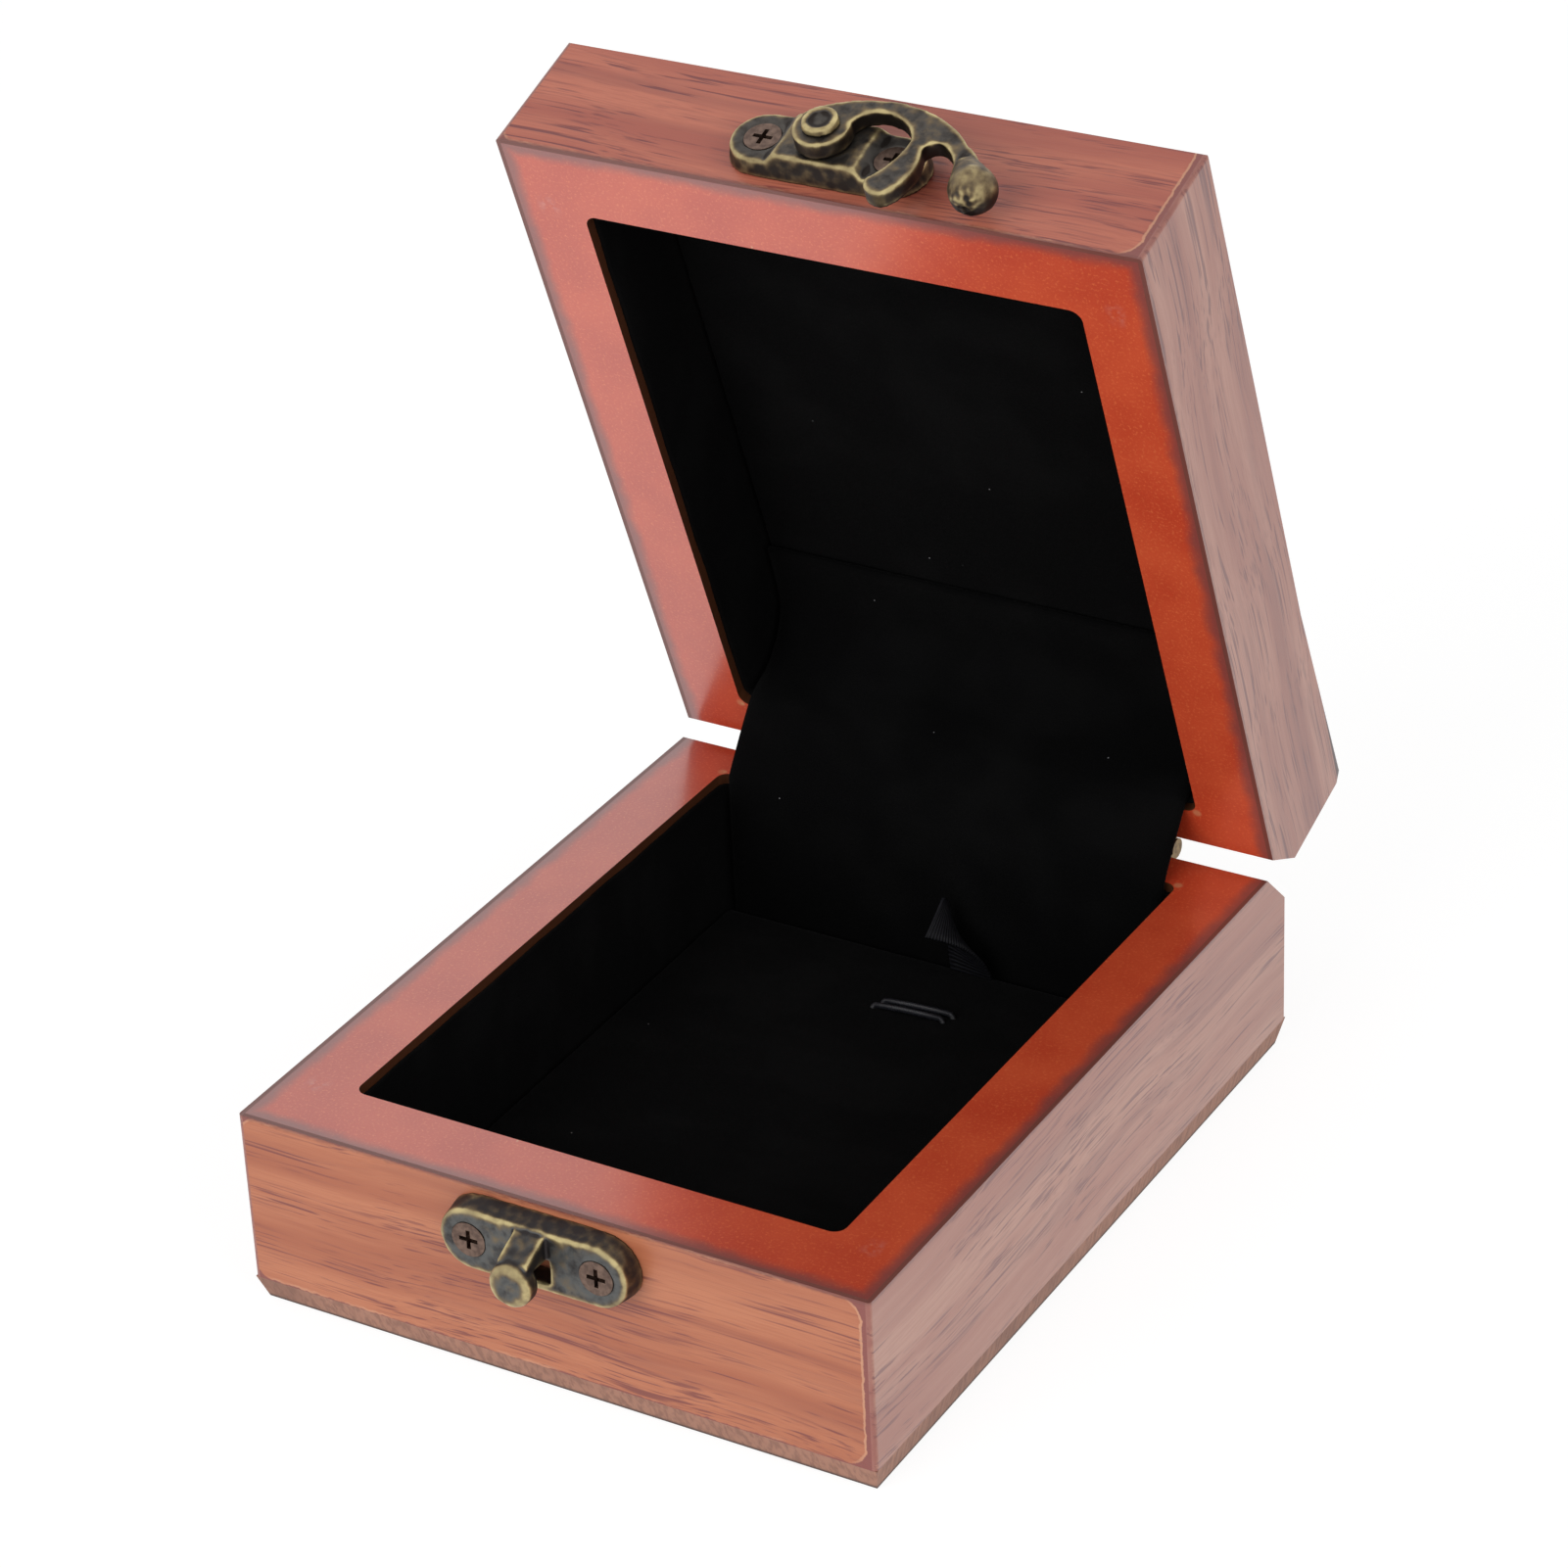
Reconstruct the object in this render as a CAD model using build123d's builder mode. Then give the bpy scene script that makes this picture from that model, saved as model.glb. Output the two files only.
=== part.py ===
from build123d import *
from math import cos, radians, sin
import os

# A small hinged watch and jewellery box: two shallow boxes of MDF, veneered outside, painted on
# their rims and lined with black velvet, with a swing hook on the lid's front edge.
# Millimetres. The origin is the centre of the underside, +X right, +Y towards the hinge, +Z up.

# Box
box_width = 85.0
box_length = 106.5
base_height = 26.4
lid_height = 19.6
side_rim = 9.5
front_rim = 10.2
back_rim = 11.2
cavity_corner_r = 1.6
veneer_t = 0.6
corner_round = 0.5
back_bevel = 5.4
foot_board_t = 3.4
foot_inset_front = 1.3
foot_inset_side = 0.8
lid_board_t = 3.2
lid_edge_bevel = 1.9
lid_edge_end = 0.25
lid_edge_fade = 32.0

# Opening
closing_gap = 0.3
rest_angle = 70.0
axis_from_back = 3.3

# Linings
lining_t = 0.6
lining_drop = 1.3
glue_gap = 0.05
pad_play = 0.35
pad_board_t = 1.2
cushion_t = 3.1
pad_edge_round = 1.2
lid_pad_board_t = 1.0
lid_pad_t = 1.5
strip_t = 0.7
strip_margin = 1.0
strip_gap = 0.3
strip_foot = 5.0
strip_lid_run = 16.0

# Ribbon and elastic on the pad
ribbon_w = 6.0
ribbon_t = 0.5
ribbon_x = 3.5
ribbon_edge = 0.9
elastic_d = 1.0
elastic_span = 10.5
elastic_pitch = 1.7
elastic_x = 2.0
elastic_from_back = 24.3
elastic_rise = 0.75

# Butt hinges
hinge_length = 18.0
hinge_from_side = 13.0
leaf_t = 0.8
leaf_margin = 0.3
knuckle_r = 1.3
knuckle_gap = 0.1
knuckle_relief = 0.3
pin_r = 0.6
pin_play = 0.03
hinge_screw_pitch = 10.0
hinge_screw_head_r = 1.3
hinge_screw_head_t = 0.55
hinge_screw_r = 0.65
hinge_screw_length = 5.5

# Latch plates
plate_length = 25.0
plate_height = 8.0
hook_plate_t = 2.2
hook_block_w = 10.6
hook_block_t = 3.3
catch_plate_t = 3.1
plate_flare = 0.5
plate_edge = 0.4
rivet_above_rim = 6.0
catch_below_rim = 5.4
screw_offset = 8.6
screw_head_r = 2.25
screw_head_t = 1.3
screw_r = 1.0
screw_length = 8.0
screw_play = 0.02
screw_rim = 0.15
cross_length = 2.5
cross_width = 0.55
cross_depth = 0.9

# Hook and catch lug
hook_lift = 0.2
hook_t = 2.2
eye_r = 3.5
slot_r = 11.5
slot_start = -37.0
slot_end = 1.0
arm_angle = 125.0
slot_angle = 24.0
knob_r = 2.9
knob_stem_r = 1.0
knob_swell_r = 2.1
knob_stem_l = 3.2
rivet_r = 1.2
rivet_play = 0.05
rivet_head_r = 2.35
rivet_head_t = 1.0
rivet_float = 0.05
rivet_dish_r = 1.5
rivet_dish = 0.25
lug_head_r = 2.8
lug_head_t = 2.4
lug_head_drop = 0.8
lug_gap = 0.25
lug_neck_w = 4.0
lug_neck_play = 0.3
lug_slope = 1.9
lug_shoulder = 0.85
lug_back_edge = 0.25
window_low = 2.9
window_side = 0.6

# Worked out
half_w = box_width / 2
half_l = box_length / 2
cavity_w = box_width - 2 * side_rim
cavity_l = box_length - front_rim - back_rim
cavity_y = (front_rim - back_rim) / 2
cavity_back = half_l - back_rim
axis_y = half_l - axis_from_back
axis_z = base_height + closing_gap / 2
base_wall = base_height - foot_board_t
lid_wall = lid_height - lid_board_t - veneer_t
wall_offset = glue_gap + lining_t
pad_w = cavity_w - 2 * (wall_offset + pad_play)
pad_front = cavity_back - cavity_l + wall_offset + pad_play
pad_back = cavity_back - wall_offset - strip_t - strip_gap - pad_play
pad_top = foot_board_t + pad_board_t + cushion_t
strip_w = cavity_w - 2 * (wall_offset + strip_margin)
lid_pad_face = lid_wall - lid_pad_board_t - lid_pad_t
hook_z = hook_block_t + hook_lift
hook_top = hook_z + hook_t
leaf_edge = knuckle_r + knuckle_relief
pivot_to_catch = rivet_above_rim + catch_below_rim + closing_gap
lug_neck_low = pivot_to_catch - slot_r + lug_neck_play

# Each half has its own frame at the middle of its rim: +Z leaves the opening and +Y runs to the hinge
tilt = radians(rest_angle)
lid_y_dir = Vector(0, cos(tilt), -sin(tilt))
lid_z_dir = Vector(0, sin(tilt), cos(tilt))
hinge_line = Vector(0, axis_y, axis_z)
base_rim = Plane(origin=(0, 0, base_height), x_dir=(-1, 0, 0), z_dir=(0, 0, -1))
lid_rim = Plane(
    origin=hinge_line - lid_y_dir * axis_y + lid_z_dir * (closing_gap / 2),
    x_dir=(1, 0, 0),
    z_dir=lid_z_dir,
)

os.makedirs("parts", exist_ok=True)


def save(name, solid):
    """Label a finished piece and write it."""
    solid.label = name
    export_step(solid, f"parts/{name}.step")
    volume = solid.volume
    print(f"{name:26s} {len(solid.solids())} solid(s) {volume:10.2f} mm3")


def at(rim, x, y, w):
    """A point of a half's own frame."""
    return rim.from_local_coords((x, y, w))


def level(rim, w, x=0.0, y=0.0):
    """The plane parallel to a half's rim at the depth w, centred on x and y."""
    return Plane(origin=at(rim, x, y, w), x_dir=rim.x_dir, z_dir=rim.z_dir)


def side_on(rim, x):
    """The plane across a half at x, drawn in its y and w, facing along the half's x."""
    return Plane(origin=at(rim, x, 0, 0), x_dir=rim.y_dir, z_dir=rim.x_dir)


def half_outline(wall):
    """The side profile of one half, with the bevel that clears the hinge."""
    Polyline(
        (-half_l, 0), (half_l - back_bevel, 0), (half_l, back_bevel),
        (half_l, wall), (-half_l, wall), close=True,
    )


# Envelopes that the glued-up halves are sanded to
def envelope(rim, height, beveled):
    with BuildPart() as block:
        with BuildSketch(side_on(rim, -half_w)):
            with BuildLine():
                half_outline(height)
            make_face()
        extrude(amount=box_width)
        upright = block.edges().filter_by(Axis((0, 0, 0), rim.z_dir))
        fillet(upright, corner_round)
        if beveled:
            for y, turn in ((-half_l, 1), (half_l, -1)):
                with BuildSketch(side_on(rim, -half_w)):
                    with BuildLine():
                        Polyline(
                            (y, height - lid_edge_bevel), (y + turn * lid_edge_bevel, height),
                            (y, height), close=True,
                        )
                    make_face()
                extrude(amount=box_width, mode=Mode.SUBTRACT)
            for x, turn in ((-half_w, 1), (half_w, -1)):
                fade = half_l - lid_edge_fade
                for stretch in (((-half_l, lid_edge_bevel), (fade, lid_edge_bevel)),
                                ((fade, lid_edge_bevel), (half_l, lid_edge_end))):
                    for y, size in stretch:
                        cut = Plane(origin=at(rim, x, y, height), x_dir=rim.x_dir, z_dir=rim.y_dir)
                        with BuildSketch(cut):
                            with BuildLine():
                                Polyline((0, 0), (turn * size, 0), (0, size), close=True)
                            make_face()
                    loft(ruled=True, mode=Mode.SUBTRACT)
    return block.part


base_envelope = envelope(base_rim, base_height, False)
lid_envelope = envelope(lid_rim, lid_height, True)


# Countersunk screw with its head's face on the plane; with some play it is the bore that the screw needs
def screw(plane, head_r, head_t, shank_r, length, play, cross):
    head_r, shank_r, length = head_r + play, shank_r + play, length + play
    with BuildPart() as part:
        with BuildSketch(Plane(origin=plane.origin, x_dir=plane.x_dir, z_dir=-plane.y_dir)):
            with BuildLine():
                Polyline(
                    (0, 0), (head_r, 0), (head_r, -screw_rim), (shank_r, -head_t),
                    (shank_r, shank_r - length), (0, -length), close=True,
                )
            make_face()
        revolve(axis=Axis(plane.origin, plane.z_dir))
        if cross:
            with BuildSketch(plane):
                Rectangle(cross_length, cross_width)
                Rectangle(cross_width, cross_length)
            extrude(amount=-cross_depth, mode=Mode.SUBTRACT)
    return part.part


def plate_plane(rim, w, h):
    """A plane over a half's front face at height h above it, centred w from the rim, facing out."""
    out = -rim.y_dir
    return Plane(origin=at(rim, 0, -half_l, w) + out * h, x_dir=(1, 0, 0), z_dir=out)


catch_w = catch_below_rim
hook_w = rivet_above_rim


# Hinge places, shared by the mortises, leaves, pins and screws
hinge_xs = {"left": hinge_from_side - cavity_w / 2, "right": cavity_w / 2 - hinge_from_side}
leaf_back = half_l - axis_from_back - leaf_edge
leaf_front = cavity_back + leaf_margin
screw_y = (leaf_front + half_l - back_bevel) / 2


def hinge_screw_planes(rim, x):
    """Planes of the two screws in one leaf, each facing out of the rim."""
    return [
        Plane(origin=at(rim, x + side * hinge_screw_pitch / 2, screw_y, 0), x_dir=(1, 0, 0), z_dir=-rim.z_dir)
        for side in (-1, 1)
    ]


def hinge_screws(rim, play):
    """The four screws of one half's leaves, or their bores."""
    with BuildPart() as part:
        for x in hinge_xs.values():
            for spot in hinge_screw_planes(rim, x):
                add(screw(
                    spot, hinge_screw_head_r, hinge_screw_head_t,
                    hinge_screw_r, hinge_screw_length, play, False,
                ))
    return part.part


def latch_screws(rim, w, thickness, play):
    """The two screws of one latch plate, or their bores."""
    face = plate_plane(rim, w, thickness)
    with BuildPart() as part:
        for x in (-screw_offset, screw_offset):
            spot = Plane(origin=face.from_local_coords((x, 0, 0)), x_dir=face.x_dir, z_dir=face.z_dir)
            add(screw(spot, screw_head_r, screw_head_t, screw_r, screw_length, play, play == 0))
    return part.part


catch_bores = latch_screws(base_rim, catch_w, catch_plate_t, screw_play)
hook_plate_bores = latch_screws(lid_rim, hook_w, hook_plate_t, screw_play)
base_hinge_bores = hinge_screws(base_rim, screw_play)
lid_hinge_bores = hinge_screws(lid_rim, screw_play)
save("catch_screws", latch_screws(base_rim, catch_w, catch_plate_t, 0))
save("hook_plate_screws", latch_screws(lid_rim, hook_w, hook_plate_t, 0))
save("hinge_base_screws", hinge_screws(base_rim, 0))
save("hinge_lid_screws", hinge_screws(lid_rim, 0))


# MDF frame with its lined pocket, hinge mortises and pilot holes
def frame(rim, wall, sanded, hinge_bores, latch_bores):
    with BuildPart() as part:
        with BuildSketch(rim):
            Rectangle(box_width - 2 * veneer_t, box_length - 2 * veneer_t)
            with Locations((0, cavity_y)):
                RectangleRounded(cavity_w, cavity_l, cavity_corner_r, mode=Mode.SUBTRACT)
        extrude(amount=wall)
        for x in hinge_xs.values():
            with BuildSketch(level(rim, 0, x, (leaf_front + half_l) / 2)):
                Rectangle(hinge_length, half_l - leaf_front)
            extrude(amount=leaf_t, mode=Mode.SUBTRACT)
        add(hinge_bores, mode=Mode.SUBTRACT)
        add(latch_bores, mode=Mode.SUBTRACT)
        add(sanded, mode=Mode.INTERSECT)
    return part.part


save("base_frame", frame(base_rim, base_wall, base_envelope, base_hinge_bores, catch_bores))
save("lid_frame", frame(lid_rim, lid_wall, lid_envelope, lid_hinge_bores, hook_plate_bores))


# Foot board of the base, with its slanted edges
with BuildPart() as base_board:
    with BuildSketch(level(base_rim, base_wall)):
        Rectangle(box_width, box_length)
    with BuildSketch(level(base_rim, base_height)):
        Rectangle(box_width - 2 * foot_inset_side, box_length - 2 * foot_inset_front)
    loft()
save("base_board", base_board.part)

# Top board of the lid
with BuildPart() as lid_board:
    with BuildSketch(level(lid_rim, lid_wall)):
        Rectangle(box_width - 2 * veneer_t, box_length - 2 * veneer_t)
    extrude(amount=lid_board_t)
    add(lid_envelope, mode=Mode.INTERSECT)
save("lid_board", lid_board.part)


# Veneer sheets
def side_veneer(rim, x, wall, sanded):
    with BuildPart() as part:
        with BuildSketch(side_on(rim, x)):
            with BuildLine():
                half_outline(wall)
            make_face()
        extrude(amount=veneer_t)
        add(sanded, mode=Mode.INTERSECT)
    return part.part


def end_veneer(rim, y, wall, sanded, latch_bores):
    with BuildPart() as part:
        with BuildSketch(Plane(origin=at(rim, 0, y, wall / 2), x_dir=rim.x_dir, z_dir=rim.y_dir)):
            Rectangle(box_width - 2 * veneer_t, wall)
        extrude(amount=veneer_t)
        if latch_bores:
            add(latch_bores, mode=Mode.SUBTRACT)
        add(sanded, mode=Mode.INTERSECT)
    return part.part


for half, rim, wall, sanded, latch_bores in (
    ("base", base_rim, base_wall, base_envelope, catch_bores),
    ("lid", lid_rim, lid_height, lid_envelope, hook_plate_bores),
):
    facing = rim.x_dir.X
    save(f"{half}_veneer_left", side_veneer(rim, -half_w if facing > 0 else half_w - veneer_t, wall, sanded))
    save(f"{half}_veneer_right", side_veneer(rim, half_w - veneer_t if facing > 0 else -half_w, wall, sanded))
    save(f"{half}_veneer_front", end_veneer(rim, -half_l, wall, sanded, latch_bores))
    save(f"{half}_veneer_back", end_veneer(rim, half_l - veneer_t, wall, sanded, None))

with BuildPart() as lid_veneer_top:
    with BuildSketch(level(lid_rim, lid_height - veneer_t)):
        Rectangle(box_width - 2 * veneer_t, box_length - 2 * veneer_t)
    extrude(amount=veneer_t)
    add(lid_envelope, mode=Mode.INTERSECT)
save("lid_veneer_top", lid_veneer_top.part)


# Velvet on the walls of each pocket
def wall_lining(rim, floor):
    outer_r = cavity_corner_r - glue_gap
    with BuildPart() as part:
        with BuildSketch(level(rim, lining_drop, 0, cavity_y)):
            RectangleRounded(cavity_w - 2 * glue_gap, cavity_l - 2 * glue_gap, outer_r)
            RectangleRounded(
                cavity_w - 2 * wall_offset, cavity_l - 2 * wall_offset, outer_r - lining_t, mode=Mode.SUBTRACT
            )
        extrude(amount=floor - lining_drop)
    return part.part


save("base_wall_lining", wall_lining(base_rim, base_wall))
save("lid_wall_lining", wall_lining(lid_rim, lid_wall))


# A pad cut to a pocket, from its lower face up
def pad(rim, floor, thickness, y_low, y_high, width, rounding):
    with BuildPart() as part:
        with BuildSketch(level(rim, floor, 0, (y_low + y_high) / 2)):
            RectangleRounded(width, y_high - y_low, pad_edge_round)
        extrude(amount=-thickness)
        if rounding:
            fillet(part.faces().sort_by(Axis((0, 0, 0), rim.z_dir))[0].edges(), rounding)
    return part.part


save("pad_board", pad(base_rim, base_wall, pad_board_t, pad_front, pad_back, pad_w, 0))
save(
    "pad_cushion",
    pad(base_rim, base_wall - pad_board_t, cushion_t, pad_front, pad_back, pad_w, pad_edge_round / 2),
)
lid_pad_back = cavity_back - wall_offset - pad_play
save("lid_pad_board", pad(lid_rim, lid_wall, lid_pad_board_t, pad_front, lid_pad_back, pad_w, 0))
save(
    "lid_cushion",
    pad(lid_rim, lid_wall - lid_pad_board_t, lid_pad_t, pad_front, lid_pad_back, pad_w, pad_edge_round / 2),
)

# Velvet strip that hides the hinges: up the back wall of the base, across to the lid, onto its pad
strip_y = cavity_back - wall_offset - strip_t / 2
lid_bend = strip_t / 2 + strip_gap
base_points = [(strip_y, strip_foot), (strip_y, base_height + strip_gap)]
lid_points = [
    at(lid_rim, 0, strip_y - strip_gap, lid_bend),
    at(lid_rim, 0, strip_y - lid_bend, lid_pad_face / 2),
    at(lid_rim, 0, strip_y - strip_lid_run, lid_pad_face - lid_bend),
]
with BuildPart() as hinge_cover:
    with BuildSketch(Plane(origin=(-strip_w / 2, 0, 0), x_dir=(0, 1, 0), z_dir=(1, 0, 0))):
        with BuildLine():
            FilletPolyline(*base_points, *[(p.Y, p.Z) for p in lid_points], radius=2.5)
        trace(line_width=strip_t)
    extrude(amount=strip_w)
save("hinge_cover", hinge_cover.part)

# Pull ribbon, twisting as it rises from the pad's back edge
ribbon_root = Vector(ribbon_x, pad_back - ribbon_edge, pad_top)
ribbon_stations = (
    ((0, 0, 0), (1, 0, 0), (0, 0, 1)),
    ((-0.5, -1.4, 5.0), (0.96, 0.1, -0.2), (-0.2, -0.5, 0.85)),
    ((-1.9, -5.0, 10.4), (0.7, 0.3, -0.65), (-0.3, -0.7, 0.65)),
    ((-4.0, -10.0, 13.2), (0.3, 0.2, -0.93), (-0.42, -0.85, 0.25)),
)
with BuildPart() as pull_ribbon:
    for spot, across, along in ribbon_stations:
        with BuildSketch(Plane(origin=ribbon_root + Vector(spot), x_dir=across, z_dir=along)):
            Rectangle(ribbon_w, ribbon_t)
    loft()
save("pull_ribbon", pull_ribbon.part)

# Two strands of elastic, each a low staple on the pad
with BuildPart() as elastic_loops:
    for side in (-1, 1):
        y = half_l - elastic_from_back + side * elastic_pitch / 2
        shift = elastic_x + side * elastic_d / 2
        with BuildLine():
            strand = FilletPolyline(
                (shift - elastic_span / 2, y, pad_top),
                (shift - elastic_span / 2, y, pad_top + elastic_rise),
                (shift + elastic_span / 2, y, pad_top + elastic_rise),
                (shift + elastic_span / 2, y, pad_top),
                radius=elastic_rise * 0.8,
            )
        with BuildSketch(Plane(origin=strand @ 0, z_dir=(0, 0, 1))):
            Circle(elastic_d / 2)
        sweep(path=strand)
save("elastic_loops", elastic_loops.part)


def on_axis(rim, x):
    """The plane across the hinge line at a half's own x, facing along it."""
    return Plane(origin=at(rim, x, axis_y, -closing_gap / 2), x_dir=rim.y_dir, z_dir=rim.x_dir)


# Butt hinge leaf: a plate let into the rim, with its own knuckles on the shared pin
def leaf(rim, x, knuckles, hinge_bores):
    with BuildPart() as part:
        with BuildSketch(level(rim, 0, x, (leaf_front + leaf_back) / 2)):
            Rectangle(hinge_length, leaf_back - leaf_front)
        extrude(amount=leaf_t)
        for low, high in knuckles:
            middle = x + (low + high) / 2
            with BuildSketch(level(rim, 0, middle, (leaf_back + axis_y) / 2)):
                Rectangle(high - low, axis_y - leaf_back)
            extrude(amount=leaf_t)
        for low, high in knuckles:
            with BuildSketch(on_axis(rim, x + low)):
                Circle(knuckle_r)
            extrude(amount=high - low)
        with BuildSketch(on_axis(rim, x - hinge_length / 2)):
            Circle(pin_r + pin_play)
        extrude(amount=hinge_length, mode=Mode.SUBTRACT)
        add(hinge_bores, mode=Mode.SUBTRACT)
    return part.part


third = hinge_length / 3
inner_end = (third - knuckle_gap) / 2
outer_end = (third + knuckle_gap) / 2
outer_knuckles = [(-hinge_length / 2, -outer_end), (outer_end, hinge_length / 2)]
inner_knuckle = [(-inner_end, inner_end)]
for side, x in hinge_xs.items():
    save(f"hinge_{side}_base_leaf", leaf(base_rim, x * base_rim.x_dir.X, outer_knuckles, base_hinge_bores))
    save(f"hinge_{side}_lid_leaf", leaf(lid_rim, x, inner_knuckle, lid_hinge_bores))
    with BuildPart() as hinge_pin:
        with BuildSketch(on_axis(lid_rim, x - hinge_length / 2)):
            Circle(pin_r)
        extrude(amount=hinge_length)
    save(f"hinge_{side}_pin", hinge_pin.part)


# Catch plate with its headed lug
neck_top = plate_height / 2
lug_back = hook_top + lug_gap
with BuildPart() as catch_plate:
    with BuildSketch(plate_plane(base_rim, catch_w, 0)):
        SlotOverall(plate_length + 2 * plate_flare, plate_height + 2 * plate_flare)
    with BuildSketch(plate_plane(base_rim, catch_w, catch_plate_t)):
        SlotOverall(plate_length, plate_height)
    loft()
    face = plate_plane(base_rim, catch_w, catch_plate_t)
    fillet(catch_plate.faces().sort_by(Axis((0, 0, 0), face.z_dir))[-1].edges(), plate_edge)
    add(catch_bores, mode=Mode.SUBTRACT)
    neck_side = Plane(
        origin=plate_plane(base_rim, catch_w, 0).from_local_coords((-lug_neck_w / 2, 0, 0)),
        x_dir=(0, 0, 1), z_dir=(1, 0, 0),
    )
    out = catch_plate_t
    far = lug_back + lug_head_t / 2
    with BuildSketch(neck_side):
        with BuildLine():
            Polyline(
                (lug_neck_low, out - plate_edge), (neck_top - plate_edge, out - plate_edge),
                (neck_top - plate_edge, out + plate_edge), (lug_slope, far), (lug_neck_low, far), close=True,
            )
        make_face()
    extrude(amount=lug_neck_w)
    head_spot = plate_plane(base_rim, catch_w, lug_back).from_local_coords((0, -lug_head_drop, 0))
    with BuildSketch(Plane(origin=head_spot, x_dir=(1, 0, 0), z_dir=(0, 0, 1))):
        with BuildLine():
            Polyline(
                (lug_head_r - lug_shoulder, -lug_head_t), (0, -lug_head_t), (0, 0),
                (lug_head_r - lug_back_edge, 0), (lug_head_r, -lug_back_edge),
                (lug_head_r, lug_shoulder - lug_head_t),
            )
            RadiusArc(
                (lug_head_r, lug_shoulder - lug_head_t), (lug_head_r - lug_shoulder, -lug_head_t),
                lug_shoulder,
            )
        make_face()
    revolve(axis=Axis(head_spot, (0, -1, 0)))
    window_y = (lug_neck_low - window_low) / 2
    window = plate_plane(base_rim, catch_w, 0).from_local_coords((0, window_y, 0))
    with BuildSketch(Plane(origin=window, x_dir=(1, 0, 0), z_dir=(0, -1, 0))):
        Rectangle(lug_neck_w + window_side, lug_neck_low + window_low)
    extrude(amount=catch_plate_t, mode=Mode.SUBTRACT)
save("catch_plate", catch_plate.part)

# Hook plate: low screw lands each side of the block that carries the hook
with BuildPart() as hook_plate:
    with BuildSketch(plate_plane(lid_rim, hook_w, 0)):
        SlotOverall(plate_length + 2 * plate_flare, plate_height + 2 * plate_flare)
    with BuildSketch(plate_plane(lid_rim, hook_w, hook_plate_t)):
        SlotOverall(plate_length, plate_height)
    loft()
    with BuildSketch(plate_plane(lid_rim, hook_w, hook_plate_t)):
        Rectangle(hook_block_w + 2 * (hook_block_t - hook_plate_t), plate_height)
    with BuildSketch(plate_plane(lid_rim, hook_w, hook_block_t)):
        Rectangle(hook_block_w, plate_height - plate_flare)
    loft()
    add(hook_plate_bores, mode=Mode.SUBTRACT)
    with BuildSketch(plate_plane(lid_rim, hook_w, 0)):
        Circle(rivet_r + screw_play)
    extrude(amount=hook_block_t, mode=Mode.SUBTRACT)
save("hook_plate", hook_plate.part)

# Rivet that the hook turns on
with BuildPart() as hook_rivet:
    with BuildSketch(plate_plane(lid_rim, hook_w, 0)):
        Circle(rivet_r)
    extrude(amount=hook_top + rivet_float)
    with BuildSketch(plate_plane(lid_rim, hook_w, hook_top + rivet_float)):
        Circle(rivet_head_r)
    extrude(amount=rivet_head_t, taper=12)
    with BuildSketch(plate_plane(lid_rim, hook_w, hook_top + rivet_float + rivet_head_t)):
        Circle(rivet_dish_r)
    extrude(amount=-rivet_dish, taper=30, mode=Mode.SUBTRACT)
save("hook_rivet", hook_rivet.part)

# Swing hook: eye, arched arm, crescent that passes behind the lug, and lever with its knob
hook_face = plate_plane(lid_rim, hook_w, hook_z)
slot_a = Vector(slot_r, 0).rotate(Axis.Z, slot_start)
slot_b = Vector(slot_r, 0).rotate(Axis.Z, slot_end)
arm_start = Vector(eye_r, 0).rotate(Axis.Z, arm_angle)
slot_close = Vector(eye_r, 0).rotate(Axis.Z, slot_angle)
knob_middle = hook_face.from_local_coords((21.7, -4.7, hook_t / 2))
knob_dir = (knob_middle - hook_face.from_local_coords((17.6, 0.6, hook_t / 2))).normalized()
with BuildPart() as hook:
    with BuildSketch(hook_face):
        with BuildLine():
            TangentArc((arm_start.X, arm_start.Y), (18.6, 0.9), tangent=(arm_start.Y, -arm_start.X))
            ThreePointArc((18.6, 0.9), (20.4, -0.5), (21.6, -2.6))
            Line((21.6, -2.6), (18.6, -3.6))
            ThreePointArc((18.6, -3.6), (17.6, -1.3), (16.2, 0.1))
            ThreePointArc((16.2, 0.1), (14.5, 0.4), (13.5, -0.9))
            ThreePointArc((13.5, -0.9), (14.1, -4.9), (12.5, -8.8))
            ThreePointArc((12.5, -8.8), (10.6, -8.9), (slot_a.X, slot_a.Y))
            CenterArc((0, 0), slot_r, slot_start, slot_end - slot_start)
            ThreePointArc((slot_b.X, slot_b.Y), (9.9, 2.5), (6.4, 3.8))
            ThreePointArc((6.4, 3.8), (4.4, 3.2), (slot_close.X, slot_close.Y))
            ThreePointArc((slot_close.X, slot_close.Y), (0, -eye_r), (arm_start.X, arm_start.Y))
        make_face()
    extrude(amount=hook_t)
    with Locations(Plane(origin=knob_middle, z_dir=knob_dir)):
        Sphere(knob_r)
    with Locations(Plane(origin=knob_middle - knob_dir * knob_r, z_dir=knob_dir)):
        Cone(knob_stem_r, knob_swell_r, knob_stem_l)
    with BuildSketch(hook_face):
        Circle(rivet_r + rivet_play)
    extrude(amount=hook_t, mode=Mode.SUBTRACT)
save("hook", hook.part)
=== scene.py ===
"""Looks of a small hinged watch box: veneered halves, painted rims, black velvet and antique latch plates."""

import logging
import math
from collections.abc import Callable
from dataclasses import dataclass, field, replace
from enum import Enum

import bmesh
import bpy
from mathutils import Matrix, Vector, noise


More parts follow.
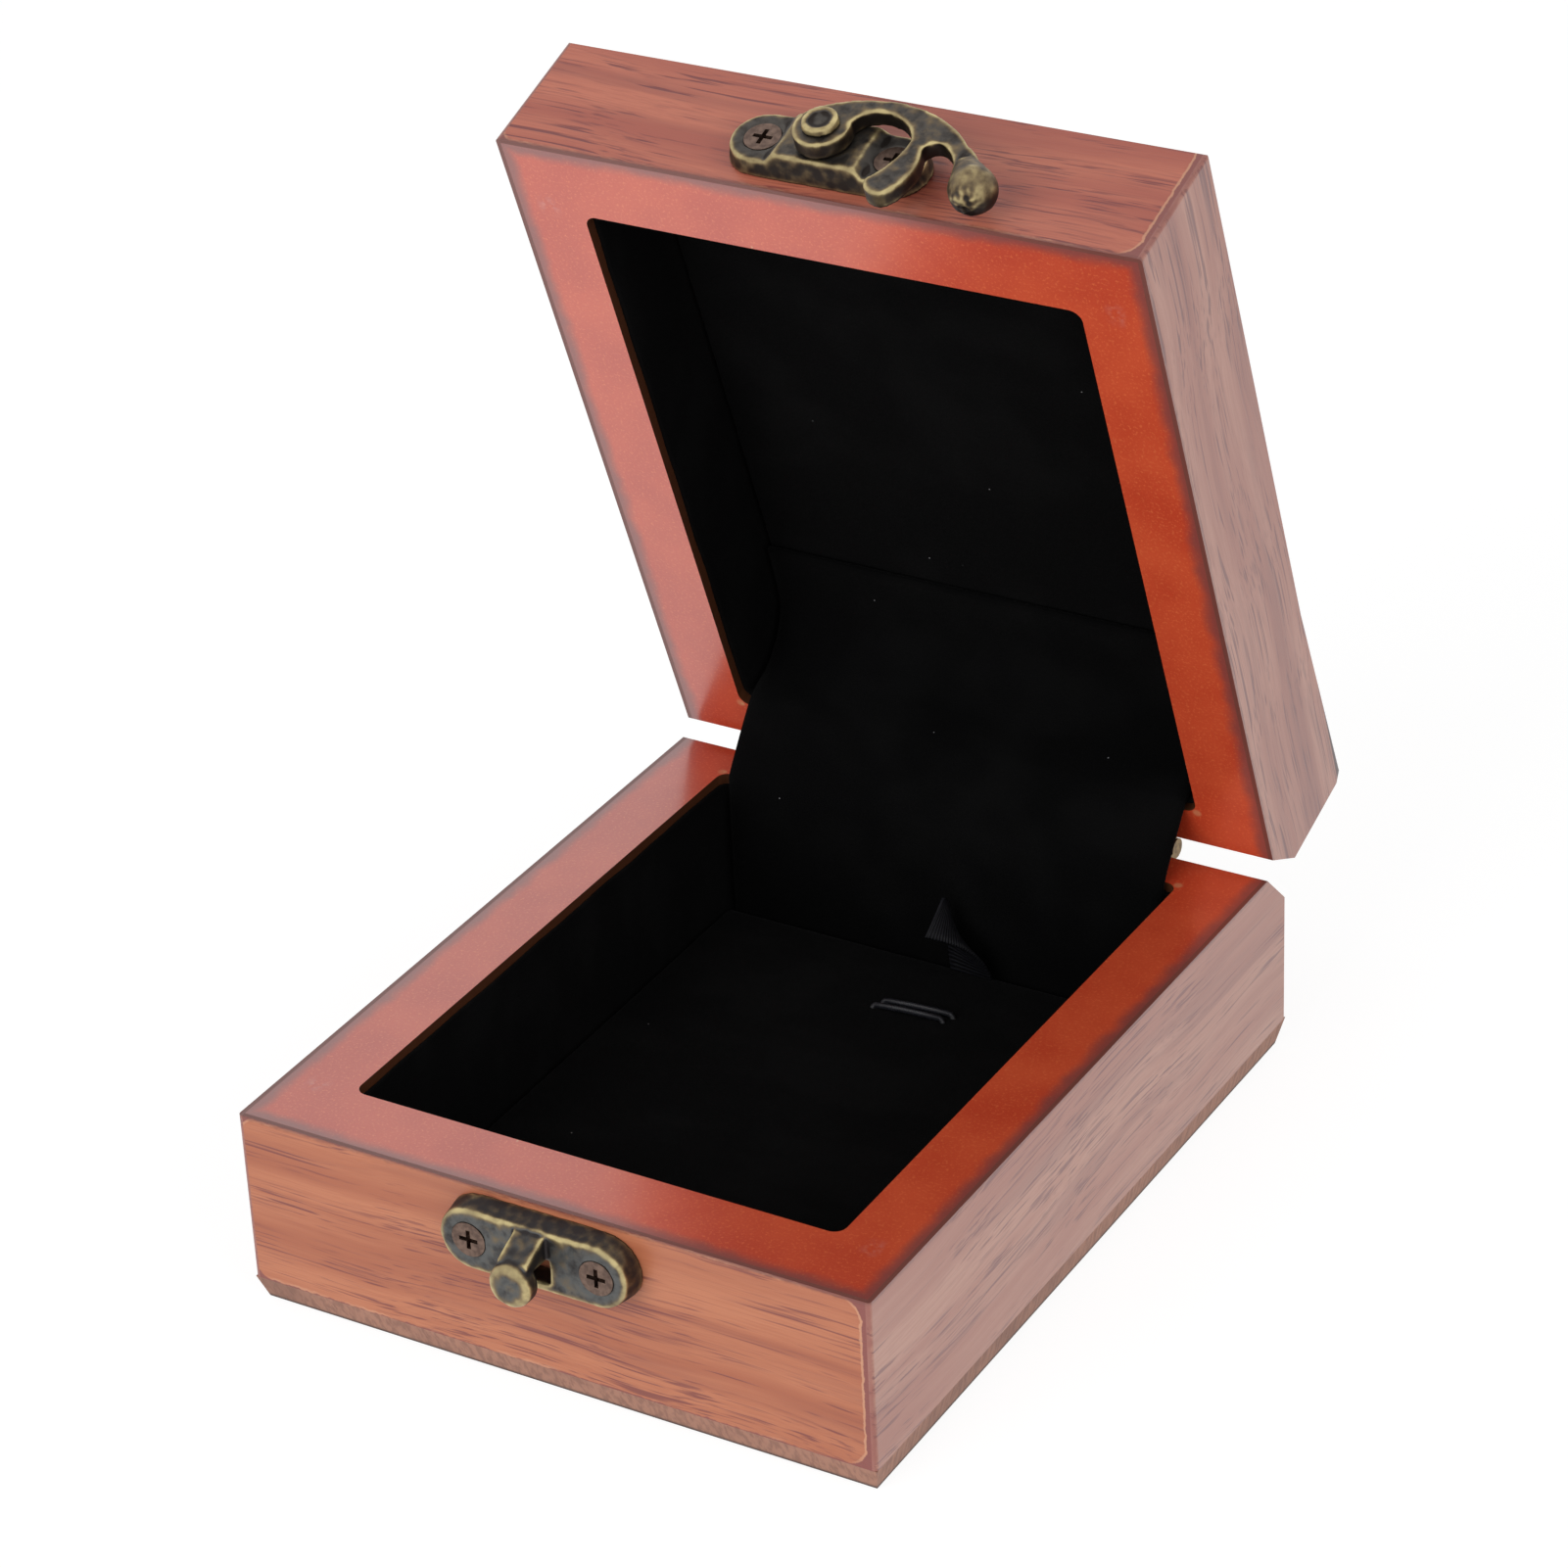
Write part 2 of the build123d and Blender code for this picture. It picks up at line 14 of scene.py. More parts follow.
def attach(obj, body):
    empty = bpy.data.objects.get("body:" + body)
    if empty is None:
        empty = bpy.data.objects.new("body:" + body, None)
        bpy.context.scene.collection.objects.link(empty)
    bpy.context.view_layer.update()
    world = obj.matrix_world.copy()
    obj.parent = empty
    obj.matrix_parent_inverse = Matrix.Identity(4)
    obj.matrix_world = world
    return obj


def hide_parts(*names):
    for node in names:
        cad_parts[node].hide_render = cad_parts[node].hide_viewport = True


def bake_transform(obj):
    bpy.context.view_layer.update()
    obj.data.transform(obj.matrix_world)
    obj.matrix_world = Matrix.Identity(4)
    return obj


logging.basicConfig(level=logging.INFO, format="%(name)s %(message)s")
LOG = logging.getLogger("watch_box")

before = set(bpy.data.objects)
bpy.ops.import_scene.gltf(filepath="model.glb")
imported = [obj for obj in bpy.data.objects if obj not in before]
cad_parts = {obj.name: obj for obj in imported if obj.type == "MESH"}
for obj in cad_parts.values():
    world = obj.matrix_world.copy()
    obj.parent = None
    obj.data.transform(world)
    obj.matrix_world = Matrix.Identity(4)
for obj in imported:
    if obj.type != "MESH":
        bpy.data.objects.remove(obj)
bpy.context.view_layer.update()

Band = tuple[float, float]
Triple = tuple[float, float, float]
Colour = Triple
Node = bpy.types.Node
Socket = bpy.types.NodeSocket
Material = bpy.types.Material
Piece = bpy.types.Object
Mesh = bmesh.types.BMesh
Edges = list[bmesh.types.BMEdge]


def tint(red: int, green: int, blue: int) -> Colour:
    """A colour as a paint chart gives it, from 0 to 255, turned to the linear values that shaders use."""
    shares = (channel / 255 for channel in (red, green, blue))
    return tuple(s / 12.92 if s <= 0.04045 else ((s + 0.055) / 1.055) ** 2.4 for s in shares)


@dataclass(frozen=True)
class BoxSizes:
    """The box's driving sizes, in metres."""

    width: float = 0.085
    length: float = 0.1065
    base_height: float = 0.0264
    lid_height: float = 0.0196
    side_rim: float = 0.0095
    front_rim: float = 0.0102
    back_rim: float = 0.0112
    veneer: float = 0.0006
    foot_board: float = 0.0034
    lid_board: float = 0.0032
    closing_gap: float = 0.0003
    axis_from_back: float = 0.0033
    rest_angle: float = math.radians(70)
    glue: float = 0.00005
    lining: float = 0.0006
    lining_drop: float = 0.0013
    corner_radius: float = 0.0016
    strip: float = 0.0007
    strip_play: float = 0.0003
    pad_play: float = 0.00035
    pad_card: float = 0.0012
    cushion: float = 0.0031
    lid_card: float = 0.001
    lid_cushion: float = 0.0015

    @property
    def cavity_width(self) -> float:
        """The pocket's width."""
        return self.width - 2 * self.side_rim

    @property
    def cavity_length(self) -> float:
        """The pocket's length."""
        return self.length - self.front_rim - self.back_rim

    @property
    def cavity_middle(self) -> float:
        """The y of the pocket's middle."""
        return (self.front_rim - self.back_rim) / 2

    @property
    def cavity_back(self) -> float:
        """The y of the pocket's back wall."""
        return self.length / 2 - self.back_rim

    @property
    def wall_offset(self) -> float:
        """How far the velvet's face stands in from the pocket's wall."""
        return self.glue + self.lining

    @property
    def strip_room(self) -> float:
        """The room that the hinge strip has behind the pad."""
        return self.strip + self.strip_play

    @property
    def pad_top(self) -> float:
        """The z of the lift-out pad's face."""
        return self.foot_board + self.pad_card + self.cushion

    @property
    def base_wall(self) -> float:
        """The depth of the base's pocket."""
        return self.base_height - self.foot_board

    @property
    def lid_wall(self) -> float:
        """The depth of the lid's pocket."""
        return self.lid_height - self.lid_board - self.veneer


BOX = BoxSizes()


@dataclass(frozen=True)
class Half:
    """One half of the box, with x across it, y towards the hinge and depth away from its rim."""

    body: str
    origin: Vector
    y_dir: Vector
    depth_dir: Vector
    wall: float

    def place(self, x: float, y: float, depth: float) -> Vector:
        """The point of the row frame that has these places in the half."""
        return self.origin + Vector((x, 0, 0)) + self.y_dir * y + self.depth_dir * depth

    def matrix(self) -> Matrix:
        """The transform from the half's own places to the row frame."""
        turn = Matrix((Vector((1, 0, 0)), self.y_dir, self.depth_dir)).transposed().to_4x4()
        return Matrix.Translation(self.origin) @ turn


def make_halves() -> tuple[Half, Half]:
    """Works out the base and the opened lid from the hinge line.

    Returns:
        The base and the lid.
    """
    rim_middle = Vector((0, 0, BOX.base_height))
    base = Half("base", rim_middle, Vector((0, 1, 0)), Vector((0, 0, -1)), BOX.base_wall)
    axis_y = BOX.length / 2 - BOX.axis_from_back
    hinge_line = Vector((0, axis_y, BOX.base_height + BOX.closing_gap / 2))
    y_dir = Vector((0, math.cos(BOX.rest_angle), -math.sin(BOX.rest_angle)))
    depth_dir = Vector((0, math.sin(BOX.rest_angle), math.cos(BOX.rest_angle)))
    origin = hinge_line - y_dir * axis_y + depth_dir * (BOX.closing_gap / 2)
    return base, Half("lid", origin, y_dir, depth_dir, BOX.lid_wall)


BASE, LID = make_halves()


class Sheet(Enum):
    """Which face of a half a veneer sheet covers, named by the way its grain runs."""

    END = "across"
    SIDE = "along"
    TOP = "over"


def even(per_metre: float) -> Triple:
    """The same count along every axis."""
    return per_metre, per_metre, per_metre


@dataclass(frozen=True)
class Pattern:
    """A noise: its features to the metre along x, y and depth, and the band in which a mask of it rises."""

    per_metre: Triple
    band: Band = (0.0, 1.0)
    detail: float = 2.0
    rough: float = 0.5

    def turned(self) -> "Pattern":
        """The same noise with x and y exchanged."""
        x, y, depth = self.per_metre
        return replace(self, per_metre=(y, x, depth))


class Graph:
    """The node tree of a material or a world, with short calls for the nodes that they share."""

    def __init__(self, owner: Material | bpy.types.World) -> None:
        """Empties the tree of a new material or world.

        Args:
            owner: The material or world.
        """
        owner.use_nodes = True
        self.owner = owner
        self.tree = owner.node_tree
        self.tree.nodes.clear()
        self.colour: object = (1, 1, 1)

    def node(self, kind: str, inputs: dict[int | str, object] | None = None, **settings: object) -> Node:
        """Adds a node.

        Args:
            kind: Its type.
            inputs: Sockets to link it to, or plain values, by the input's name or index.
            settings: Its options.

        Returns:
            The node.
        """
        made = self.tree.nodes.new(kind)
        for key, value in settings.items():
            setattr(made, key, value)
        for key, value in (inputs or {}).items():
            socket = made.inputs[key]
            if isinstance(value, Socket):
                self.tree.links.new(value, socket)
            else:
                socket.default_value = (*value, 1) if socket.type == "RGBA" else value
        return made

    @property
    def place(self) -> Socket:
        """The place in the piece's own coordinates, which are the row frame's."""
        return self.node("ShaderNodeTexCoord").outputs["Object"]

    @property
    def normal(self) -> Socket:
        """The surface's direction in the same coordinates."""
        return self.node("ShaderNodeTexCoord").outputs["Normal"]

    def math(self, operation: str, first: object, second: object = 0.0) -> Socket:
        """One step of arithmetic on two numbers."""
        return self.node("ShaderNodeMath", {0: first, 1: second}, operation=operation).outputs[0]

    def plus(self, first: object, second: object) -> Socket:
        """The sum of two numbers."""
        return self.math("ADD", first, second)

    def minus(self, first: object, second: object) -> Socket:
        """The first number less the second."""
        return self.math("SUBTRACT", first, second)

    def times(self, first: object, second: object) -> Socket:
        """The product of two numbers."""
        return self.math("MULTIPLY", first, second)

    def either(self, first: object, second: object) -> Socket:
        """The larger of two masks or numbers."""
        return self.math("MAXIMUM", first, second)

    def size(self, number: object) -> Socket:
        """A number without its sign."""
        return self.math("ABSOLUTE", number)

    def vector_math(self, operation: str, first: object, second: object, output: str = "Vector") -> Socket:
        """One step of arithmetic on two vectors."""
        inputs = {0: first, 1: second}
        return self.node("ShaderNodeVectorMath", inputs, operation=operation).outputs[output]

    def dot(self, vector: object, direction: Vector) -> Socket:
        """How far a vector reaches along a direction."""
        return self.vector_math("DOT_PRODUCT", vector, tuple(direction), "Value")

    def spread(self, value: object, low: float, high: float) -> Socket:
        """A smooth rise from 0 at low to 1 at high; low may be the larger one."""
        inputs = {"Value": value, "From Min": low, "From Max": high}
        return self.node("ShaderNodeMapRange", inputs, interpolation_type="SMOOTHSTEP").outputs["Result"]

    def mix(self, share: object, first: object, second: object) -> Socket:
        """A blend of two colours."""
        inputs = {0: share, 6: first, 7: second}
        return self.node("ShaderNodeMix", data_type="RGBA", clamp_factor=True, inputs=inputs).outputs[2]

    def over(self, mask: object, tone: Colour, share: float | Socket = 1.0) -> None:
        """Lays a tone over the surface's colour, where a mask is 1 and as strongly as the share says."""
        self.colour = self.mix(self.times(mask, share), self.colour, tone)

    def cloud(self, vector: object, pattern: Pattern) -> Socket:
        """A pattern's noise, about 0.5 on average.

        Args:
            vector: The places that it reads.
            pattern: The noise.

        Returns:
            The noise's value.
        """
        scaled = self.vector_math("MULTIPLY", vector, pattern.per_metre)
        inputs = {"Vector": scaled, "Scale": 1.0, "Detail": pattern.detail, "Roughness": pattern.rough}
        return self.node("ShaderNodeTexNoise", inputs).outputs[0]

    def mask(self, vector: object, pattern: Pattern) -> Socket:
        """A pattern's noise, spread from 0 to 1 over its band."""
        return self.spread(self.cloud(vector, pattern), *pattern.band)

    def in_half(self, half: Half) -> Socket:
        """The place in a half's own x, y and depth.

        Args:
            half: The half.

        Returns:
            The place, as a vector.
        """
        offset = self.vector_math("SUBTRACT", self.place, tuple(half.origin))
        directions = enumerate((Vector((1, 0, 0)), half.y_dir, half.depth_dir))
        inputs = {axis: self.dot(offset, direction) for axis, direction in directions}
        return self.node("ShaderNodeCombineXYZ", inputs).outputs[0]

    def split(self, vector: object) -> list[Socket]:
        """The three numbers of a vector."""
        return list(self.node("ShaderNodeSeparateXYZ", {0: vector}).outputs)

    def near(self, vector: object, spot: Vector, core: float, reach: float) -> Socket:
        """1 within core of a spot and 0 from reach on, or the other way round where core is the larger."""
        return self.spread(self.vector_math("DISTANCE", vector, tuple(spot), "Value"), reach, core)

    def bump(self, height: object, distance: float, strength: float) -> Socket:
        """A bumped normal from a height between 0 and 1."""
        inputs = {"Strength": strength, "Distance": distance, "Height": height}
        return self.node("ShaderNodeBump", inputs).outputs["Normal"]

    def flecks(self, vector: object, per_metre: float, size: float, share: float) -> Socket:
        """Scattered specks.

        Args:
            vector: The places that it reads.
            per_metre: Cells to the metre, with at most one speck in each.
            size: A speck's radius as a share of its cell.
            share: How many of the cells hold a speck, from 0 to 1.

        Returns:
            A mask of 1 on the specks.
        """
        cells = self.node("ShaderNodeTexVoronoi", {"Vector": vector, "Scale": per_metre}).outputs
        chosen = self.math("LESS_THAN", self.split(cells["Color"])[0], share)
        return self.times(chosen, self.spread(cells["Distance"], size, size * 0.4))

    def finish(self, **sockets: object) -> Material:
        """Adds the surface shader.

        Args:
            sockets: Values or links by the shader's socket names, with _ for a space.

        Returns:
            The finished material.
        """
        inputs = {"Base Color": self.colour}
        for name, value in sockets.items():
            inputs[name.replace("_", " ").title().replace("Ior", "IOR")] = value
        return self.output(self.node("ShaderNodeBsdfPrincipled", inputs), "ShaderNodeOutputMaterial")

    def output(self, shader: Node, kind: str) -> Material | bpy.types.World:
        """Makes a shader the tree's result, and gives back the tree's owner."""
        self.node(kind, {"Surface": shader.outputs[0]})
        return self.owner


def new_material(name: str) -> Graph:
    """Starts a material."""
    return Graph(bpy.data.materials.new(name))


@dataclass(frozen=True)
class VeneerFinish:
    """Thin wood veneer under a satin coat, with its grain one way and its ends stained dark."""

    name: str
    pale: Colour
    tan: Colour
    streak: Colour
    streak_share: float = 0.8
    coat: float = 0.25
    end_grain: Colour = tint(112, 62, 54)
    chip: Colour = tint(206, 152, 120)
    core: Colour = tint(134, 72, 66)
    shadow: Colour = tint(70, 42, 44)
    drift: Pattern = Pattern(even(22), detail=1.0)
    bands: Pattern = Pattern((9, 210, 210), (0.34, 0.66), detail=3.0)
    blush: Pattern = Pattern((7, 330, 330), (0.52, 0.7))
    fibres: Pattern = Pattern((110, 3800, 3800), (0.42, 0.62), rough=0.6)
    dashes: Pattern = Pattern((75, 2700, 2700), (0.52, 0.66), rough=0.6)
    clumps: Pattern = Pattern((26, 260, 260), (0.4, 0.6))
    long_dashes: Pattern = Pattern((24, 1350, 1350), (0.6, 0.7), rough=0.55)
    ragged: Pattern = Pattern(even(900), detail=3.0)
    patches: Pattern = Pattern(even(160), (0.5, 0.66))
    sway: float = 0.006
    blush_share: float = 0.3
    fibre_share: float = 0.35
    stain_share: float = 0.6
    streak_depth: float = 0.6
    corner: float = 0.0026
    inset: float = 0.0013
    line: float = 0.00022
    raggedness: float = 0.0007
    sheet_edge: Band = (0.0, 0.0002)
    right_end: Band = (0.004, 0.001)
    side_stain: Band = (0.00035, 0.0001)
    front_stain: Band = (0.0008, 0.0004)
    rim_stain: Band = (0.001, 0.0004)
    shadow_band: Band = (0.0013, 0.0008)
    upward: Band = (0.45, 0.75)

    def sheet_distance(self, graph: Graph, x: object, depth: object, height: float) -> Socket:
        """How far a point of a front sheet lies outside the sheet's rounded outline.

        Args:
            graph: The node tree.
            x: The place across the box.
            depth: The depth from the rim.
            height: The sheet's height.

        Returns:
            The distance, which is negative within the outline.
        """
        off_x = graph.size(graph.plus(x, self.inset / 2))
        off_x = graph.minus(off_x, (BOX.width - self.inset) / 2 - self.corner)
        off_depth = graph.size(graph.minus(depth, height / 2))
        off_depth = graph.minus(off_depth, height / 2 - self.corner - self.line)
        within = graph.math("MINIMUM", graph.either(off_x, off_depth), 0.0)
        squares = [graph.math("POWER", graph.either(off, 0.0), 2.0) for off in (off_x, off_depth)]
        outside = graph.math("SQRT", graph.plus(*squares))
        return graph.minus(graph.plus(within, outside), self.corner)

    def wood(self, graph: Graph, local: Socket, sheet: Sheet, shift: float) -> Socket:
        """Colours the bare wood with bands, fibres and streaks.

        Args:
            graph: The node tree.
            local: The place in the half.
            sheet: The face that the sheet covers.
            shift: Moves the pattern.

        Returns:
            The wood's relief.
        """
        moved = graph.vector_math("ADD", local, (shift, shift * 0.7, shift * 0.3))
        sway = graph.times(graph.cloud(moved, self.drift), self.sway)
        bent = graph.node("ShaderNodeCombineXYZ", {0 if sheet is Sheet.SIDE else 1: sway, 2: sway})
        place = graph.vector_math("ADD", moved, bent.outputs[0])

        def grain(pattern: Pattern) -> Pattern:
            """The pattern with its run along the sheet's grain."""
            return pattern.turned() if sheet is Sheet.SIDE else pattern

        fibres = graph.cloud(place, grain(self.fibres))
        tanned = graph.spread(fibres, *self.fibres.band)
        short = graph.times(graph.mask(place, grain(self.dashes)), graph.mask(place, grain(self.clumps)))
        streaks = graph.either(short, graph.mask(place, grain(self.long_dashes)))
        streaks = graph.times(streaks, self.streak_share)
        blush = graph.times(graph.mask(place, grain(self.blush)), self.blush_share)
        graph.colour = graph.mix(graph.mask(place, grain(self.bands)), self.tan, self.pale)
        graph.over(blush, self.streak)
        graph.over(tanned, self.tan, self.fibre_share)
        graph.over(streaks, self.streak)
        return graph.minus(fibres, graph.times(streaks, self.streak_depth))

    def material(self, half: Half, sheet: Sheet, shift: float) -> Material:
        """Makes the veneer for one sheet.

        Args:
            half: The half that the sheet is on.
            sheet: The face that it covers.
            shift: Moves the pattern, so that no two sheets match.

        Returns:
            The material.
        """
        graph = new_material(f"{self.name}_{half.body}_{sheet.value}")
        local = graph.in_half(half)
        relief = self.wood(graph, local, sheet, shift)
        x, y, depth = graph.split(local)
        ragged = graph.times(graph.cloud(local, self.ragged), self.raggedness)
        if sheet is Sheet.END:
            height = BOX.base_wall if half is BASE else BOX.lid_height
            outside = self.sheet_distance(graph, x, depth, height)
            wavering = graph.plus(outside, graph.minus(ragged, self.raggedness / 2))
            graph.over(graph.spread(wavering, *self.sheet_edge), self.core)
            edge = graph.spread(graph.size(wavering), self.line, self.line * 0.4)
            right_end = graph.spread(x, *(BOX.width / 2 - gap for gap in self.right_end))
            patches = graph.times(graph.mask(local, self.patches), 0.5)
            shown = graph.either(graph.times(right_end, 0.75), patches)
            graph.over(edge, self.chip, shown)
            side_gap = graph.minus(BOX.width / 2, graph.size(x))
            last = graph.spread(side_gap, *self.side_stain)
        else:
            front_gap = graph.plus(y, BOX.length / 2)
            last = graph.spread(graph.plus(front_gap, ragged), *self.front_stain)
        graph.over(last, self.core, self.stain_share)
        rim = graph.spread(graph.plus(depth, ragged), *self.rim_stain)
        graph.over(rim, self.end_grain, self.stain_share)
        if half is LID and sheet is not Sheet.TOP:
            low_gap = graph.minus(BOX.lid_height, depth)
            graph.over(graph.spread(low_gap, *self.shadow_band), self.shadow)
        up = graph.spread(graph.dot(graph.normal, -half.depth_dir), *self.upward)
        graph.over(up, self.end_grain)
        return graph.finish(
            roughness=0.42,
            coat_weight=self.coat,
            coat_roughness=0.22,
            normal=graph.bump(relief, distance=0.00006, strength=0.6),
        )


@dataclass(frozen=True)
class RimPaint:
    """Orange-red stain and varnish on fibreboard, rubbed thin at the rim's outer edges."""

    paint: Colour = tint(204, 80, 47)
    deep: Colour = tint(190, 65, 38)
    speck: Colour = tint(226, 122, 74)
    rubbed: Colour = tint(118, 66, 64)
    raw: Colour = tint(78, 44, 26)
    bare: Colour = tint(206, 156, 112)
    scuff: Colour = tint(196, 128, 118)
    grains: Pattern = Pattern(even(2600), (0.52, 0.72), rough=0.65)
    patches: Pattern = Pattern(even(90), (0.3, 0.7), detail=3.0)
    wander: Pattern = Pattern(even(260), detail=3.0)
    scuff_breaks: Pattern = Pattern(even(700), (0.45, 0.62), detail=3.0)
    speck_share: float = 0.55
    wander_reach: float = 0.0018
    rub_band: Band = (0.0012, -0.0008)
    rub_share: float = 0.8
    scuff_from_front: float = 0.09
    scuffs: tuple[Band, Band] = ((0.0022, 0.35), (0.0012, 0.5))
    scuff_core: float = 0.2
    patch_relief: float = 2.0
    notch: Band = (0.0003, 0.0008)
    notch_share: float = 0.5
    lip: Band = (0.0006, 0.0001)
    nicks: Triple = (1100, 0.4, 0.06)
    sunken: Band = (0.45, 0.2)

    def marks(self, graph: Graph, local: Socket, sign: int) -> None:
        """Adds one side's scuff near the front corner and its bare notch at the pocket's back corner.

        Args:
            graph: The node tree.
            local: The place in the half.
            sign: -1 for the left side and 1 for the right.
        """
        y = (self.scuff_from_front - 0.5) * BOX.length
        spot = Vector((sign * (BOX.width - BOX.side_rim) / 2, y, 0))
        for reach, share in self.scuffs:
            mark = graph.near(local, spot, reach * self.scuff_core, reach)
            mark = graph.times(mark, graph.mask(local, self.scuff_breaks))
            graph.over(mark, self.scuff, share)
        corner = Vector((sign * BOX.cavity_width / 2, BOX.cavity_back, 0))
        graph.over(graph.near(local, corner, *self.notch), self.bare, self.notch_share)

    def material(self, half: Half) -> Material:
        """Makes the paint for one half's frame.

        Args:
            half: The half that it covers.

        Returns:
            The material.
        """
        graph = new_material(f"rim_paint_{half.body}")
        local = graph.in_half(half)
        x, y, depth = graph.split(local)
        grains = graph.cloud(local, self.grains)
        patches = graph.cloud(local, self.patches)
        tone = graph.spread(patches, *self.patches.band)
        graph.colour = graph.mix(tone, self.deep, self.paint)
        specks = graph.spread(grains, *self.grains.band)
        graph.over(specks, self.speck, self.speck_share)
        side_gap = graph.minus(BOX.width / 2 - BOX.veneer, graph.size(x))
        front_gap = graph.plus(y, BOX.length / 2 - BOX.veneer)
        gap = graph.math("MINIMUM", side_gap, front_gap)
        wander = graph.times(graph.cloud(local, self.wander), self.wander_reach)
        worn = graph.spread(graph.minus(gap, wander), *self.rub_band)
        graph.over(worn, self.rubbed, self.rub_share)
        for sign in (-1, 1):
            self.marks(graph, local, sign)
        across = graph.minus(graph.size(x), BOX.cavity_width / 2)
        along = graph.size(graph.minus(y, BOX.cavity_middle))
        along = graph.minus(along, BOX.cavity_length / 2)
        lip = graph.spread(graph.either(across, along), *self.lip)
        nicks = graph.times(lip, graph.flecks(local, *self.nicks))
        graph.over(nicks, self.bare)
        graph.over(graph.spread(graph.dot(graph.normal, -half.depth_dir), *self.sunken), self.raw)
        height = graph.plus(grains, graph.times(patches, self.patch_relief))
        return graph.finish(
            roughness=0.34,
            coat_weight=0.9,
            coat_ior=1.75,
            coat_roughness=0.2,
            normal=graph.bump(height, distance=0.00003, strength=0.5),
        )


@dataclass(frozen=True)
class FootBoardFinish:
    """Bare greyish brown board edge with fine cross-grain lines and a dark lower edge."""

    brown: Colour = tint(168, 122, 102)
    line: Colour = tint(120, 82, 68)
    dark: Colour = tint(70, 46, 38)
    lines: Pattern = Pattern((1500, 1500, 60), (0.4, 0.65), detail=3.0, rough=0.6)
    broad: Pattern = Pattern(even(60), (0.5, 0.8))
    line_share: float = 0.6
    dark_band: Band = (0.0007, 0.0001)

    def material(self) -> Material:
        """Makes the foot board's material.

        Returns:
            The material.
        """
        graph = new_material("foot_board_edge")
        lines = graph.mask(graph.place, self.lines)
        graph.colour = graph.mix(graph.times(lines, self.line_share), self.brown, self.line)
        graph.over(graph.mask(graph.place, self.broad), self.line)
        height = graph.split(graph.place)[2]
        graph.over(graph.spread(height, *self.dark_band), self.dark)
        return graph.finish(roughness=0.6, normal=graph.bump(lines, distance=0.00004, strength=0.5))


@dataclass(frozen=True)
class VelvetFinish:
    """Short black pile with sparse lint."""

    black: Colour = (0.0026, 0.0026, 0.0027)
    brushed: Colour = (0.004, 0.004, 0.0041)
    lint: Colour = tint(150, 150, 152)
    pile: Pattern = Pattern(even(5200), rough=0.7)
    strokes: Pattern = Pattern((60, 110, 60), (0.42, 0.66))
    specks: Triple = (420, 0.05, 0.05)

    def material(self, name: str) -> Material:
        """Makes the velvet.

        Args:
            name: The material's name.

        Returns:
            The material.
        """
        graph = new_material(name)
        graph.colour = graph.mix(graph.mask(graph.place, self.strokes), self.black, self.brushed)
        graph.over(graph.flecks(graph.place, *self.specks), self.lint)
        return graph.finish(
            roughness=1.0,
            specular_ior_level=0.04,
            sheen_weight=0.015,
            sheen_roughness=0.4,
            normal=graph.bump(graph.cloud(graph.place, self.pile), distance=0.00015, strength=0.8),
        )


@dataclass(frozen=True)
class AntiqueBrass:
    """Cast brass with a blue-grey patina that is rubbed to gold on its edges and high spots, and painted
    shade on the faces that turn sideways.
    """

    patina: Colour = tint(100, 101, 100)
    # The dark tone is the patina's own in its mottle and hollows, and painted shade on the faces that turn
    # sideways.
    dark_patina_and_shade: Colour = tint(54, 50, 50)
    gold: Colour = tint(216, 198, 144)
    brown: Colour = tint(132, 111, 80)
    mottle: Pattern = Pattern(even(520), (0.2, 0.6), detail=3.0, rough=0.6)
    fine: Pattern = Pattern(even(3000))
    bright: Pattern = Pattern(even(230), (0.3, 0.62))
    least_bright: float = 0.4
    unsteadiness: float = 1.3
    outward_band: Band = (-0.25, 0.45)
    painted_side_shade_band: Band = (0.75, 0.2)
    hollow_band: Band = (-0.05, -0.5)
    warm_band: Band = (-0.1, 0.6)
    warm_share: float = 0.7
    rubbed_band: Band = (0.3, 1.3)
    around_screw: Band = (0.004, 0.0028)
    roughness: float = 0.5
    polish: float = 0.16

    def material(self, name: str, outward: Vector, screws: tuple[Vector, ...] = ()) -> Material:
        """Makes the metal, which reads the casting's own attribute of wear.

        Args:
            name: The material's name.
            outward: The way from the wood to whoever handles it.
            screws: The middles of the screws, around which the patina stays.

        Returns:
            The material.
        """
        graph = new_material(name)
        worn = graph.node("ShaderNodeAttribute", attribute_name="worn").outputs["Fac"]
        mottle = graph.cloud(graph.place, self.mottle)
        unsteady = graph.plus(worn, graph.times(graph.minus(mottle, 0.5), self.unsteadiness))
        facing = graph.dot(graph.normal, outward)
        reached = graph.spread(facing, *self.outward_band)
        for screw in screws:
            reached = graph.times(reached, graph.near(graph.place, screw, *self.around_screw))
        bright = graph.times(graph.mask(graph.place, self.bright), 1 - self.least_bright)
        bright = graph.plus(bright, self.least_bright)
        warm = graph.times(graph.spread(unsteady, *self.warm_band), reached)
        rubbed = graph.times(graph.spread(unsteady, *self.rubbed_band), reached)
        rubbed = graph.times(rubbed, bright)
        tone = graph.spread(mottle, *self.mottle.band)
        graph.colour = graph.mix(tone, self.dark_patina_and_shade, self.patina)
        graph.over(graph.spread(worn, *self.hollow_band), self.dark_patina_and_shade)
        # Painted shade: faces that turn away from the outward way take the dark tone.
        graph.over(graph.spread(facing, *self.painted_side_shade_band), self.dark_patina_and_shade)
        graph.over(warm, self.brown, self.warm_share)
        graph.over(rubbed, self.gold)
        return graph.finish(
            metallic=0.9,
            roughness=graph.minus(self.roughness, graph.times(rubbed, self.polish)),
            normal=graph.bump(graph.cloud(graph.place, self.fine), distance=0.00003, strength=0.5),
        )


